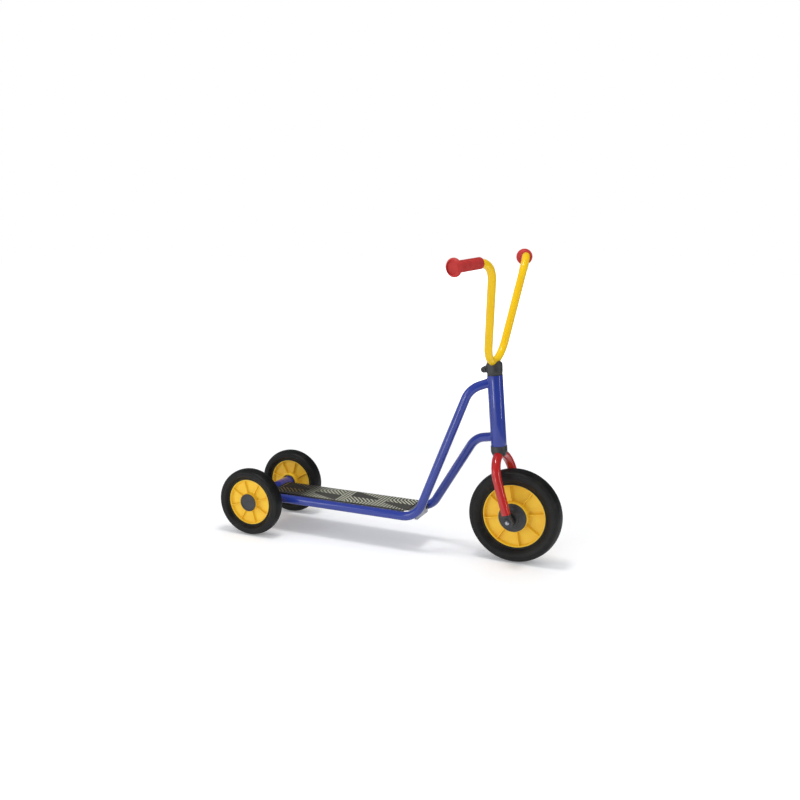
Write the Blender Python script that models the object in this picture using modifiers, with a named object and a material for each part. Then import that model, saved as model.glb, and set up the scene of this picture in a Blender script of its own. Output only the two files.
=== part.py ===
# Three-wheel kids scooter: a bent steel tube frame with a flat deck, two rear wheels on one axle,
# a steered fork with a larger front wheel, and a V-shaped handlebar with two moulded grips.
#
# Units are metres. +X points forward, +Y to the rider's left, +Z up. The origin is on the floor,
# under the middle of the scooter's length and on its centre plane.

import math

import bmesh
import bpy
from mathutils import Matrix, Vector

# Driving dimensions: wheels and their places
WHEELBASE = 0.7733
REAR_TRACK = 0.2346
REAR_TYRE_RADIUS = 0.099
REAR_TYRE_HALF_WIDTH = 0.022
REAR_TYRE_DEPTH = 0.0316
REAR_LIP_REACH = 0.0104
FRONT_TYRE_RADIUS = 0.129
FRONT_TYRE_HALF_WIDTH = 0.027
FRONT_TYRE_DEPTH = 0.041
FRONT_LIP_REACH = 0.0136
WHEEL_STEPS = 28
RIB_COUNT = 8
FRONT_RIB_TURN = math.radians(10.7)
REAR_RIB_TURN = math.radians(15.4)

# Driving dimensions: steering axis, which passes the setback behind the front wheel's foot, and
# the head tube
HEAD_LEAN = math.radians(4.62)
STEER_SETBACK = 0.0254
CROWN_ABOVE_TYRE = 0.040
HEAD_ABOVE_CROWN = 0.0162
HEAD_LENGTH = 0.1968
HEAD_RADIUS = 0.021
HEAD_WALL = 0.003
STEERER_RADIUS = 0.0127
STEERER_WALL = 0.0016

# Driving dimensions: frame tubes. Each one's upper bend lies a drop below its joint on the head
# tube and a setback behind the front axle
FRAME_TUBE_RADIUS = 0.0125
FRAME_TUBE_WALL = 0.002
RAIL_HALF_SPACING = 0.0545
NECK_HALF_SPACING = 0.020
UPPER_JOINT_BELOW_TOP = 0.0104
LOWER_JOINT_ABOVE_FOOT = 0.0295
UPPER_BEND_SETBACK = 0.1306
UPPER_BEND_DROP = 0.0292
UPPER_BEND_RADIUS = 0.053
LOWER_BEND_SETBACK = 0.1247
LOWER_BEND_DROP = 0.0158
LOWER_BEND_RADIUS = 0.069
DECK_BEND_REACH = 0.5035
DECK_BEND_RADIUS = 0.061
AXLE_TUBE_RADIUS = 0.0205
AXLE_TUBE_WALL = 0.0025

# Driving dimensions: deck
DECK_HALF_WIDTH = 0.051
PLATE_THICKNESS = 0.0015
MAT_THICKNESS = 0.0022
MAT_CORNER_RADIUS = 0.004
MAT_CORNER_STEPS = 3
MAT_AXLE_GAP = 0.0035
BARE_MARGIN = 0.035
TONGUE_SIDE_GAP = 0.0015
TONGUE_BEFORE_BEND = 0.005
TONGUE_FOLD_RADIUS = 0.004
FOLD_STEPS = 3
FLANGE_DEPTH = 0.024
SCREW_HALF_SPACING = 0.030
FRONT_SCREW_RISE = 0.005
SCREW_RADIUS = 0.002
SCREW_HEAD_RADIUS = 0.0045
SCREW_HEAD_HEIGHT = 0.0025
SCREW_HEAD_SIDE = 0.00125
SCREW_HEAD_FLAT_RADIUS = 0.00315
SCREW_END = 0.002
CROSS_PLATE_THICKNESS = 0.003
CROSS_PLATE_HEIGHT = 0.018
STRAP_THICKNESS = 0.0027
STRAP_WIDTH = 0.025
STRAP_REAR = 0.050

# Driving dimensions: fork
FORK_TUBE_RADIUS = 0.0125
FORK_TUBE_WALL = 0.002
FORK_HALF_SPACING = 0.065
LEG_END_DISTANCE = 0.021
FORK_END_HALF_WIDTH = 0.0145
FORK_END_HALF_THICKNESS = 0.006
FORK_PLUG_DEPTH = 0.016
COLLAR_HEIGHT = 0.003
COLLAR_TAPER = 0.008
COVER_DEPTH = 0.0170
COVER_FOOT_RADIUS = 0.0155

# Driving dimensions: handlebar, clamp and grips
BAR_RADIUS = 0.0107
BAR_WALL = 0.0015
BAR_FOOT_RISE = 0.0374
BAR_LEAN = math.radians(8.2)
BAR_HALF_ANGLE = math.radians(18.2)
BAR_LEG_LENGTH = 0.4582
BAR_FOOT_RADIUS = 0.0732
BAR_TOP_RADIUS = 0.0649
BAR_SWEEP = math.radians(19.2)
BAR_DROOP = math.radians(3.8)
BAR_END_LENGTH = 0.147
GRIP_START = 0.036
GRIP_END = 0.1545
GRIP_RADIUS = 0.0146
GRIP_FLANGE_RADIUS = 0.0229
GRIP_FLANGE_WIDTH = 0.008
GRIP_FLANGE_EDGE = 0.0015
GRIP_FLANGE_CONE = 0.005
CLAMP_RADIUS = 0.0205
CLAMP_LUG_REACH = 0.0265
CLAMP_LUG_RADIUS = 0.0085
CLAMP_LUG_HALF_WIDTH = 0.0115
CLAMP_LUG_HEIGHT = 0.0088
CLAMP_SLOT = 0.002
CRADLE_RISE = 0.0080
CLAMP_BOLT_RADIUS = 0.003
CLAMP_BOLT_HEAD_RADIUS = 0.005
CLAMP_BOLT_HEAD_HEIGHT = 0.004
CLAMP_NUT_RIM = 0.0025
CLAMP_NUT_HEIGHT = 0.004
STEM_WALL = 0.002
STEM_DEPTH = 0.090

# Driving dimensions: hubs, bushes and axles
REAR_AXLE_RADIUS = 0.006
FRONT_AXLE_RADIUS = 0.005
REAR_HUB_WALL = 0.003
REAR_HUB_CLEARANCE = 0.003
REAR_HUB_OUT = 0.0160
REAR_HUB_IN = 0.0235
REAR_FLOOR_OUT = 0.0030
REAR_FLOOR_IN = 0.0160
REAR_BUSH_WALL = 0.0043
REAR_BUSH_RIM = 0.0038
FRONT_HUB_WALL = 0.0035
FRONT_HUB_BORE = 0.0375
FRONT_HUB_OUT = 0.026
FRONT_FLOOR = 0.009
FRONT_BUSH_WALL = 0.0078
FRONT_BUSH_RIM = 0.0048
FRONT_CAP_BOSS_RADIUS = 0.021
FRONT_CAP_FORK_GAP = 0.014
FRONT_CAP_RISE = 0.006
FRONT_CAP_CLEARANCE = 0.002
SPACER_WALL = 0.0042
BUSH_LENGTH = 0.008
HEAD_BUSH_DEPTH = 0.020
BUSH_FLANGE = 0.002
WASHER_THICKNESS = 0.0012
FRONT_WASHER_RIM = 0.004
FRONT_NUT_HEIGHT = 0.005
FRONT_NUT_RIM = 0.0035
AXLE_BOLT_HEAD_RIM = 0.0015
AXLE_BOLT_HEAD_HEIGHT = 0.0045
REAR_WASHER_RIM = 0.005
REAR_NUT_HEIGHT = 0.0052
REAR_NUT_RIM = 0.0045
AXLE_PLUG_DEPTH = 0.018
HUB_CAP_WALL = 0.0020
HUB_CAP_PROUD = 0.0008
EDGE_CUT = 0.0020
WEB_HALF_THICKNESS = 0.0016
LIP_THICKNESS = 0.0035
RIB_THICKNESS = 0.0026
RIB_RECESS = 0.0015
KEY_HEIGHT = 0.004
KEY_HALF_WIDTH = 0.005
BEAD_OUT = 0.0008
BEAD_RISE = 0.004
BEAD_SWELL = 0.0014
TREAD_DEPTH = 0.009
TREAD_STEPS = 4

# Clearances: GAP is left between fitted pieces, RUN between a shaft and what turns round it
GAP = 0.0003
RUN = 0.0004
MERGE = 0.00001
TUBE_SIDES_RESOLUTION = 4
BEND_STEPS = 5
ARCH_STEPS = 12

# How far a piece runs into the one that it is joined to, how far a cutter runs past what it cuts,
# and how far a square piece stays inside the round one that it leads into
EMBED = 0.001
CUT_PAST = 0.01
INSET = 0.0002

# Edges that turn more than this are shaded sharp
SHARP_ANGLE = math.radians(40)

# A direction whose part across world X is shorter than this counts as running along it
NEARLY_PARALLEL = 0.1

# How many sides the turned pieces have
LARGE_SIDES = 24
MEDIUM_SIDES = 16
SMALL_SIDES = 12

# Places worked out from the driving dimensions
REAR_X = -(WHEELBASE + FRONT_TYRE_RADIUS - REAR_TYRE_RADIUS) / 2
FRONT_X = REAR_X + WHEELBASE
RAIL_Z = REAR_TYRE_RADIUS
REAR_WHEEL_Y = REAR_TRACK / 2
REAR_DISC_RADIUS = REAR_TYRE_RADIUS - REAR_TYRE_DEPTH
FRONT_DISC_RADIUS = FRONT_TYRE_RADIUS - FRONT_TYRE_DEPTH
REAR_BUSH_RADIUS = REAR_AXLE_RADIUS + RUN + REAR_BUSH_WALL
FRONT_BUSH_RADIUS = FRONT_AXLE_RADIUS + RUN + FRONT_BUSH_WALL
REAR_HUB_BORE = AXLE_TUBE_RADIUS + REAR_HUB_CLEARANCE
STEM_RADIUS = STEERER_RADIUS - STEERER_WALL - RUN
SPACER_RADIUS = FRONT_AXLE_RADIUS + GAP + SPACER_WALL
FRONT_CAP_REACH = FORK_HALF_SPACING - FORK_END_HALF_THICKNESS - FRONT_CAP_FORK_GAP
REAR_BUSH_INNER_FACE = REAR_WHEEL_Y - REAR_FLOOR_IN - GAP - BUSH_FLANGE
AXLE_TUBE_HALF_LENGTH = REAR_BUSH_INNER_FACE - WASHER_THICKNESS - BUSH_FLANGE - 3 * GAP
MAT_REAR = REAR_X + AXLE_TUBE_RADIUS + MAT_AXLE_GAP
TONGUE_X = REAR_X + DECK_BEND_REACH - TONGUE_BEFORE_BEND
MAT_FRONT = TONGUE_X - BARE_MARGIN
TONGUE_HALF_WIDTH = RAIL_HALF_SPACING - FRAME_TUBE_RADIUS - TONGUE_SIDE_GAP
CROWN_HEIGHT = 2 * FRONT_TYRE_RADIUS + CROWN_ABOVE_TYRE
UP_AXIS = Vector((-math.sin(HEAD_LEAN), 0, math.cos(HEAD_LEAN)))


def axis_point(height):
    """The point of the steering axis at this height above the floor."""
    setback = STEER_SETBACK + height * math.tan(HEAD_LEAN)
    return Vector((FRONT_X - setback, 0, height))


HEAD_FOOT = axis_point(CROWN_HEIGHT + HEAD_ABOVE_CROWN)
HEAD_TOP = HEAD_FOOT + UP_AXIS * HEAD_LENGTH
CROWN = axis_point(CROWN_HEIGHT)
FRONT_AXLE = Vector((FRONT_X, 0, FRONT_TYRE_RADIUS))
REAR_AXLE = Vector((REAR_X, 0, REAR_TYRE_RADIUS))
FORK_DOWN = (FRONT_AXLE - CROWN).normalized()
BAR_FOOT = HEAD_TOP + UP_AXIS * BAR_FOOT_RISE
BAR_UP = Vector((math.sin(BAR_LEAN), 0, math.cos(BAR_LEAN)))
SEAT_ABOVE_HEAD = (BAR_FOOT - HEAD_FOOT).length - BAR_RADIUS - GAP
PLATE_BOTTOM = RAIL_Z + FRAME_TUBE_RADIUS + GAP
PLATE_TOP = PLATE_BOTTOM + PLATE_THICKNESS
MAT_BOTTOM = PLATE_TOP + GAP


def clear_scene():
    for obj in list(bpy.data.objects):
        bpy.data.objects.remove(obj)


def new_collection(name):
    group = bpy.data.collections.new(name)
    bpy.context.scene.collection.children.link(group)
    return group


def finish(name, colour, roughness, metallic=0.0):
    material = bpy.data.materials.new(name)
    material.use_nodes = True
    shader = material.node_tree.nodes["Principled BSDF"]
    shader.inputs["Base Color"].default_value = (*colour, 1)
    shader.inputs["Roughness"].default_value = roughness
    shader.inputs["Metallic"].default_value = metallic
    return material


clear_scene()
PARTS = new_collection("kids_scooter")
CUTTERS = new_collection("cutters")
BLUE = finish("blue_enamel", (0.05, 0.08, 0.42), 0.3)
RED = finish("red_enamel", (0.55, 0.02, 0.03), 0.3)
YELLOW = finish("yellow_enamel", (0.85, 0.52, 0.01), 0.3)
DISC_YELLOW = finish("yellow_plastic", (0.95, 0.45, 0.03), 0.45)
GRIP_RED = finish("red_rubber", (0.6, 0.02, 0.03), 0.55)
TYRE_BLACK = finish("tyre_rubber", (0.02, 0.02, 0.02), 0.75)
BLACK = finish("black_plastic", (0.025, 0.025, 0.03), 0.5)
NYLON = finish("white_nylon", (0.8, 0.8, 0.78), 0.5)
MAT_BLACK = finish("mat_rubber", (0.05, 0.05, 0.045), 0.8)
ZINC = finish("zinc_steel", (0.6, 0.6, 0.62), 0.35, 1.0)


def added(name, mesh, look, matrix=None):
    """Makes an object of the mesh, in the parts if it has a finish and in the cutters if not."""
    obj = bpy.data.objects.new(name, mesh)
    obj.matrix_world = matrix if matrix else Matrix()
    if look is None:
        CUTTERS.objects.link(obj)
        obj.hide_render = True
        obj.display_type = "WIRE"
    else:
        PARTS.objects.link(obj)
        mesh.materials.append(look)
    return obj


def cut(obj, cutter, operation="DIFFERENCE"):
    boolean = obj.modifiers.new(cutter.name, "BOOLEAN")
    boolean.operation = operation
    boolean.object = cutter


def axis_matrix(origin, direction):
    """A frame at origin whose Z runs along direction and whose X stays as near world X as it can."""
    z_axis = Vector(direction).normalized()
    x_axis = Vector((1, 0, 0)) - z_axis * z_axis.x
    if x_axis.length < NEARLY_PARALLEL:
        x_axis = Vector((0, 1, 0)) - z_axis * z_axis.y
    x_axis.normalize()
    y_axis = z_axis.cross(x_axis)
    matrix = Matrix((x_axis, y_axis, z_axis)).transposed().to_4x4()
    matrix.translation = origin
    return matrix


def turned(name, profile, steps, look, matrix, ring=True):
    """Turns a profile of (radius, height) points about Z. It runs down its outer side."""
    count = len(profile)
    edges = [(i, i + 1) for i in range(count - 1)]
    if ring:
        edges.append((count - 1, 0))
    mesh = bpy.data.meshes.new(name)
    mesh.from_pydata([(radius, 0, height) for radius, height in profile], edges, [])
    obj = added(name, mesh, look, matrix)
    screw = obj.modifiers.new("Turn", "SCREW")
    screw.angle = math.tau
    screw.steps = steps
    screw.render_steps = steps
    screw.use_merge_vertices = True
    screw.merge_threshold = MERGE
    screw.use_smooth_shade = steps > 6
    return obj


def sleeve(name, outer, inner, low, high, steps, look, matrix):
    """A plain ring from low to high along the frame's Z."""
    profile = [(outer, high), (outer, low), (inner, low), (inner, high)]
    return turned(name, profile, steps, look, matrix)


def rod(name, radius, low, high, sides, look, matrix):
    """A plain cylinder from low to high along the frame's Z."""
    mesh = bpy.data.meshes.new(name)
    shape = bmesh.new()
    size = {"segments": sides, "radius1": radius, "radius2": radius, "depth": high - low}
    bmesh.ops.create_cone(shape, cap_ends=True, **size)
    bmesh.ops.translate(shape, vec=(0, 0, (low + high) / 2), verts=shape.verts)
    shape.to_mesh(mesh)
    shape.free()
    mesh.shade_smooth()
    mesh.set_sharp_from_angle(angle=SHARP_ANGLE)
    return added(name, mesh, look, matrix)


def hex_nut(name, wall, shaft, low, high, matrix):
    """A six-sided nut; its bore has six sides too, so its flats clear the shaft."""
    bore = (shaft + GAP) / math.cos(math.pi / 6)
    return sleeve(name, shaft + wall, bore, low, high, 6, ZINC, matrix)


def block(name, low, high, look, matrix=None):
    """A box between two corners."""
    low = Vector(low)
    high = Vector(high)
    mesh = bpy.data.meshes.new(name)
    shape = bmesh.new()
    bmesh.ops.create_cube(shape, size=1)
    size = high - low
    bmesh.ops.scale(shape, vec=size, verts=shape.verts)
    bmesh.ops.translate(shape, vec=(low + high) / 2, verts=shape.verts)
    shape.to_mesh(mesh)
    shape.free()
    return added(name, mesh, look, matrix)


def filleted(corners, radii, steps=BEND_STEPS):
    """The points of a bent tube's centre line: straight runs between the corners, arcs at them."""
    path = [Vector(corners[0])]
    for before, corner, after, radius in zip(corners, corners[1:], corners[2:], radii):
        corner = Vector(corner)
        back = (Vector(before) - corner).normalized()
        ahead = (Vector(after) - corner).normalized()
        turn = math.pi - back.angle(ahead)
        tangent = radius * math.tan(turn / 2)
        centre = corner + (back + ahead).normalized() * radius / math.cos(turn / 2)
        start = corner + back * tangent - centre
        end = corner + ahead * tangent - centre
        for step in range(steps + 1):
            share = step / steps
            arm = start * math.sin((1 - share) * turn) + end * math.sin(share * turn)
            path.append(centre + arm / math.sin(turn))
    path.append(Vector(corners[-1]))
    return path


def swept_mesh(name, path, radius, capped, scales=None, flat_up=False):
    """The mesh of a round tube along the path, with a share of the radius for each point.

    A tube with flat_up keeps one of its sides level on top, however its path turns.
    """
    curve = bpy.data.curves.new(name, "CURVE")
    curve.dimensions = "3D"
    curve.bevel_depth = radius
    curve.bevel_resolution = TUBE_SIDES_RESOLUTION
    curve.use_fill_caps = capped
    if flat_up:
        curve.twist_mode = "Z_UP"
    tilt = math.pi / (2 * TUBE_SIDES_RESOLUTION + 4) if flat_up else 0
    spline = curve.splines.new("POLY")
    spline.points.add(len(path) - 1)
    for index, point in enumerate(path):
        spline.points[index].co = (*point, 1)
        spline.points[index].radius = scales[index] if scales else 1.0
        spline.points[index].tilt = tilt
    guide = bpy.data.objects.new(name, curve)
    bpy.context.scene.collection.objects.link(guide)
    graph = bpy.context.evaluated_depsgraph_get()
    mesh = bpy.data.meshes.new_from_object(guide.evaluated_get(graph))
    bpy.data.objects.remove(guide)
    bpy.data.curves.remove(curve)
    shape = bmesh.new()
    shape.from_mesh(mesh)
    bmesh.ops.remove_doubles(shape, verts=shape.verts, dist=MERGE)
    shape.to_mesh(mesh)
    shape.free()
    mesh.shade_smooth()
    mesh.set_sharp_from_angle(angle=SHARP_ANGLE)
    return mesh


def tube(name, path, radius, wall, look, flat_up=False):
    """A bent tube with open ends: its outer surface, given a wall inwards."""
    obj = added(name, swept_mesh(name, path, radius, False, flat_up=flat_up), look)
    shell = obj.modifiers.new("Wall", "SOLIDIFY")
    shell.thickness = wall
    shell.offset = -1
    shell.use_even_offset = True
    return obj


def solid_sweep(name, path, radius, look=None, scales=None, flat_up=False):
    return added(name, swept_mesh(name, path, radius, True, scales, flat_up), look)


def empty(name, matrix):
    """A joint's place: the pieces that move together are parented to it."""
    obj = bpy.data.objects.new(name, None)
    obj.empty_display_size = 0.05
    obj.matrix_world = matrix
    PARTS.objects.link(obj)
    return obj


def carry(parent, pieces):
    for piece in pieces:
        piece.parent = parent
        piece.matrix_parent_inverse = parent.matrix_world.inverted()


def wheel_frame(centre, side):
    """A wheel's frame: its Z points out along the axle, to the right for side -1, left for +1."""
    return axis_matrix(centre, (0, side, 0))


def rim(name, size, look, matrix, rib_turn):
    """A moulded wheel disc: outer lip, thin web, hub collar with a stepped bore, and ribs."""
    disc = size["disc"]
    lip = disc - LIP_THICKNESS
    hub = size["hub"]
    bore = size["hub_bore"]
    sleeve_bore = size["bush"] + GAP
    out = size["lip_reach"]
    web = WEB_HALF_THICKNESS
    profile = [
        (disc, out),
        (disc, KEY_HALF_WIDTH),
        (disc + KEY_HEIGHT, KEY_HALF_WIDTH),
        (disc + KEY_HEIGHT, -KEY_HALF_WIDTH),
        (disc, -KEY_HALF_WIDTH),
        (disc, -out),
        (lip, -out),
        (lip, -web),
        (hub, -web),
        (hub, -size["hub_in"]),
        (bore, -size["hub_in"]),
        (bore, -size["floor_in"]),
        (sleeve_bore, -size["floor_in"]),
        (sleeve_bore, size["floor_out"]),
        (bore, size["floor_out"]),
        (bore, size["hub_out"]),
        (hub, size["hub_out"]),
        (hub, web),
        (lip, web),
        (lip, out),
    ]
    obj = turned(name, profile, WHEEL_STEPS, look, matrix)
    mesh = bpy.data.meshes.new(name + "_ribs")
    shape = bmesh.new()
    reach = out - RIB_RECESS
    for index in range(RIB_COUNT):
        made = bmesh.ops.create_cube(shape, size=1)["verts"]
        length = lip - hub + 2 * EMBED
        bmesh.ops.scale(shape, vec=(length, RIB_THICKNESS, 2 * reach), verts=made)
        bmesh.ops.translate(shape, vec=((lip + hub) / 2, 0, 0), verts=made)
        angle = rib_turn + index * math.tau / RIB_COUNT
        bmesh.ops.rotate(shape, matrix=Matrix.Rotation(angle, 3, "Z"), verts=made)
    shape.to_mesh(mesh)
    shape.free()
    cut(obj, added(name + "_ribs", mesh, None, matrix), "UNION")
    return obj


def tyre(name, size, look, matrix):
    """A solid rubber tyre: a rounded tread, and sides that slope in to the disc."""
    seat = size["disc"] + GAP
    groove = seat + KEY_HEIGHT
    key = KEY_HALF_WIDTH + GAP
    radius = size["radius"]
    half = size["half_width"]
    bead = size["lip_reach"] + BEAD_OUT
    upper = [(seat, bead), (seat + BEAD_RISE, bead + BEAD_SWELL)]
    upper.append((radius - 2 * TREAD_DEPTH, half - BEAD_OUT))
    for step in range(TREAD_STEPS):
        angle = step * math.pi / 2 / TREAD_STEPS
        upper.append((radius - TREAD_DEPTH * (1 - math.sin(angle)), half * math.cos(angle)))
    lower = [(r, -height) for r, height in reversed(upper)]
    inside = [(seat, -key), (groove, -key), (groove, key), (seat, key)]
    return turned(name, upper + [(radius, 0)] + lower + inside, WHEEL_STEPS, look, matrix)


def flanged_bush(name, outer, bore, flange, floor, direction, matrix):
    """A nylon bush pressed into a hub from one side, with its flange on the recess floor."""
    profile = [
        (flange, BUSH_FLANGE + GAP),
        (flange, GAP),
        (outer, GAP),
        (outer, -BUSH_LENGTH),
        (bore, -BUSH_LENGTH),
        (bore, BUSH_FLANGE + GAP),
    ]
    place = matrix @ Matrix.Translation((0, 0, floor * direction))
    if direction < 0:
        place = place @ Matrix.Rotation(math.pi, 4, "X")
    return turned(name, profile, MEDIUM_SIDES, NYLON, place)


REAR_SIZE = {
    "radius": REAR_TYRE_RADIUS,
    "half_width": REAR_TYRE_HALF_WIDTH,
    "disc": REAR_DISC_RADIUS,
    "lip_reach": REAR_LIP_REACH,
    "hub": REAR_HUB_BORE + REAR_HUB_WALL,
    "hub_bore": REAR_HUB_BORE,
    "hub_in": REAR_HUB_IN,
    "hub_out": REAR_HUB_OUT,
    "floor_in": REAR_FLOOR_IN,
    "floor_out": REAR_FLOOR_OUT,
    "bush": REAR_BUSH_RADIUS,
}
FRONT_SIZE = {
    "radius": FRONT_TYRE_RADIUS,
    "half_width": FRONT_TYRE_HALF_WIDTH,
    "disc": FRONT_DISC_RADIUS,
    "lip_reach": FRONT_LIP_REACH,
    "hub": FRONT_HUB_BORE + FRONT_HUB_WALL,
    "hub_bore": FRONT_HUB_BORE,
    "hub_in": FRONT_HUB_OUT,
    "hub_out": FRONT_HUB_OUT,
    "floor_in": FRONT_FLOOR,
    "floor_out": FRONT_FLOOR,
    "bush": FRONT_BUSH_RADIUS,
}


def make_frame():
    head = axis_matrix(HEAD_FOOT, UP_AXIS)
    bore = HEAD_RADIUS - HEAD_WALL
    sleeve("head_tube", HEAD_RADIUS, bore, 0, HEAD_LENGTH, LARGE_SIDES, BLUE, head)
    along_axle = axis_matrix(REAR_AXLE, (0, 1, 0))
    half = AXLE_TUBE_HALF_LENGTH
    inner = AXLE_TUBE_RADIUS - AXLE_TUBE_WALL
    sleeve("rear_axle_tube", AXLE_TUBE_RADIUS, inner, -half, half, LARGE_SIDES, BLUE, along_axle)
    wide = HEAD_RADIUS + GAP
    far = HEAD_LENGTH + CUT_PAST
    head_cutter = rod("head_cutter", wide, -CUT_PAST, far, LARGE_SIDES, None, head)
    wide = AXLE_TUBE_RADIUS + GAP
    axle_cutter = rod("axle_cutter", wide, -half, half, LARGE_SIDES, None, along_axle)
    high = HEAD_TOP.z - UPPER_JOINT_BELOW_TOP
    low = HEAD_FOOT.z + LOWER_JOINT_ABOVE_FOOT
    sides = (
        ("right", -1, high, UPPER_BEND_SETBACK, UPPER_BEND_DROP, UPPER_BEND_RADIUS),
        ("left", 1, low, LOWER_BEND_SETBACK, LOWER_BEND_DROP, LOWER_BEND_RADIUS),
    )
    for side, sign, joint, setback, drop, radius in sides:
        rail_y = sign * RAIL_HALF_SPACING
        corners = [
            axis_point(joint),
            (FRONT_X - setback, sign * NECK_HALF_SPACING, joint - drop),
            (REAR_X + DECK_BEND_REACH, rail_y, RAIL_Z),
            (REAR_X, rail_y, RAIL_Z),
        ]
        path = filleted(corners, [radius, DECK_BEND_RADIUS])
        size = (FRAME_TUBE_RADIUS, FRAME_TUBE_WALL)
        obj = tube(side + "_frame_tube", path, *size, BLUE, flat_up=True)
        cut(obj, head_cutter)
        cut(obj, axle_cutter)
        solid_sweep(side + "_tube_cutter", path, FRAME_TUBE_RADIUS + GAP, flat_up=True)


def make_deck_plate():
    """A folded sheet: a panel on the rails, and a tongue that folds down between them in front."""
    middle = PLATE_BOTTOM + PLATE_THICKNESS / 2
    rear = MAT_REAR
    step = MAT_FRONT - GAP
    front = TONGUE_X
    fold = TONGUE_FOLD_RADIUS
    tongue = [(step, middle)]
    for index in range(FOLD_STEPS + 1):
        angle = index * math.pi / 2 / FOLD_STEPS
        x = front - fold + fold * math.sin(angle)
        tongue.append((x, middle - fold + fold * math.cos(angle)))
    tongue.append((front, middle - FLANGE_DEPTH))
    mesh = bpy.data.meshes.new("deck_plate")
    shape = bmesh.new()
    wide = [shape.verts.new((rear, sign * DECK_HALF_WIDTH, middle)) for sign in (-1, 1)]
    ends = [shape.verts.new((step, sign * DECK_HALF_WIDTH, middle)) for sign in (-1, 1)]
    rows = []
    for x, z in tongue:
        rows.append([shape.verts.new((x, sign * TONGUE_HALF_WIDTH, z)) for sign in (-1, 1)])
    shape.faces.new((wide[0], ends[0], rows[0][0], rows[0][1], ends[1], wide[1]))
    for lower, upper in zip(rows, rows[1:]):
        shape.faces.new((lower[0], upper[0], upper[1], lower[1]))
    shape.to_mesh(mesh)
    shape.free()
    obj = added("deck_plate", mesh, ZINC)
    sheet = obj.modifiers.new("Sheet", "SOLIDIFY")
    sheet.thickness = PLATE_THICKNESS
    sheet.offset = 0
    sheet.use_even_offset = True
    return obj


def make_deck_mat():
    """The rubber mat: a flat outline with round corners, given its thickness."""
    half_x = (MAT_FRONT - MAT_REAR) / 2
    outline = bpy.data.curves.new("deck_mat", "CURVE")
    outline.dimensions = "2D"
    outline.fill_mode = "BOTH"
    outline.extrude = MAT_THICKNESS / 2
    spline = outline.splines.new("POLY")
    points = []
    centres = ((1, 1, 0), (-1, 1, 1), (-1, -1, 2), (1, -1, 3))
    for sign_x, sign_y, quarter in centres:
        for step in range(MAT_CORNER_STEPS + 1):
            angle = (quarter + step / MAT_CORNER_STEPS) * math.pi / 2
            x = sign_x * (half_x - MAT_CORNER_RADIUS) + MAT_CORNER_RADIUS * math.cos(angle)
            y = sign_y * (DECK_HALF_WIDTH - MAT_CORNER_RADIUS) + MAT_CORNER_RADIUS * math.sin(angle)
            points.append((x, y))
    spline.points.add(len(points) - 1)
    for point, (x, y) in zip(spline.points, points):
        point.co = (x, y, 0, 1)
    spline.use_cyclic_u = True
    outline.materials.append(MAT_BLACK)
    obj = bpy.data.objects.new("deck_mat", outline)
    middle = (MAT_REAR + MAT_FRONT) / 2
    obj.location = (middle, 0, MAT_BOTTOM + MAT_THICKNESS / 2)
    PARTS.objects.link(obj)
    return obj


def deck_screw(name, seat, direction, length):
    """A round-headed screw whose head rests on seat and whose shank runs along direction."""
    matrix = axis_matrix(seat, [-component for component in direction])
    profile = [
        (0, SCREW_HEAD_HEIGHT),
        (SCREW_HEAD_FLAT_RADIUS, SCREW_HEAD_HEIGHT),
        (SCREW_HEAD_RADIUS, SCREW_HEAD_SIDE),
        (SCREW_HEAD_RADIUS, 0),
        (SCREW_RADIUS, 0),
        (SCREW_RADIUS, -length),
        (0, -length),
    ]
    turned(name, profile, SMALL_SIDES, BLACK, matrix, ring=False)
    hole = SCREW_RADIUS + GAP
    far = length + CUT_PAST
    return rod(name + "_hole", hole, -far, CUT_PAST, SMALL_SIDES, None, matrix)


def make_deck():
    plate = make_deck_plate()
    make_deck_mat()
    back = TONGUE_X - PLATE_THICKNESS / 2 - GAP
    inner = RAIL_HALF_SPACING - FRAME_TUBE_RADIUS / 2
    top = PLATE_BOTTOM + PLATE_THICKNESS / 2 - TONGUE_FOLD_RADIUS - GAP
    cross = block(
        "front_cross_plate",
        (back - CROSS_PLATE_THICKNESS, -inner, top - CROSS_PLATE_HEIGHT),
        (back, inner, top),
        ZINC,
    )
    for side in ("right", "left"):
        cut(cross, bpy.data.objects[side + "_tube_cutter"])
    strap_top = PLATE_BOTTOM - GAP
    strap_low = strap_top - STRAP_THICKNESS
    drop = strap_low - RAIL_Z
    chord = math.sqrt(FRAME_TUBE_RADIUS**2 - drop**2)
    reach = RAIL_HALF_SPACING - chord - GAP
    strap_x = REAR_X + STRAP_REAR
    strap = block(
        "rear_deck_strap",
        (strap_x, -reach, strap_low),
        (strap_x + STRAP_WIDTH, reach, strap_top),
        ZINC,
    )
    front = TONGUE_X + PLATE_THICKNESS / 2 + GAP
    for side, sign in (("right", -1), ("left", 1)):
        y = sign * SCREW_HALF_SPACING
        seat = (front, y, RAIL_Z + FRONT_SCREW_RISE)
        length = PLATE_THICKNESS + CROSS_PLATE_THICKNESS + SCREW_END
        hole = deck_screw("front_deck_screw_" + side, seat, (-1, 0, 0), length)
        cut(plate, hole)
        cut(cross, hole)
        seat = (strap_x + STRAP_WIDTH / 2, y, strap_low - GAP)
        length = STRAP_THICKNESS + PLATE_THICKNESS + GAP
        hole = deck_screw("rear_deck_screw_" + side, seat, (0, 0, 1), length)
        cut(plate, hole)
        cut(strap, hole)


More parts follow.
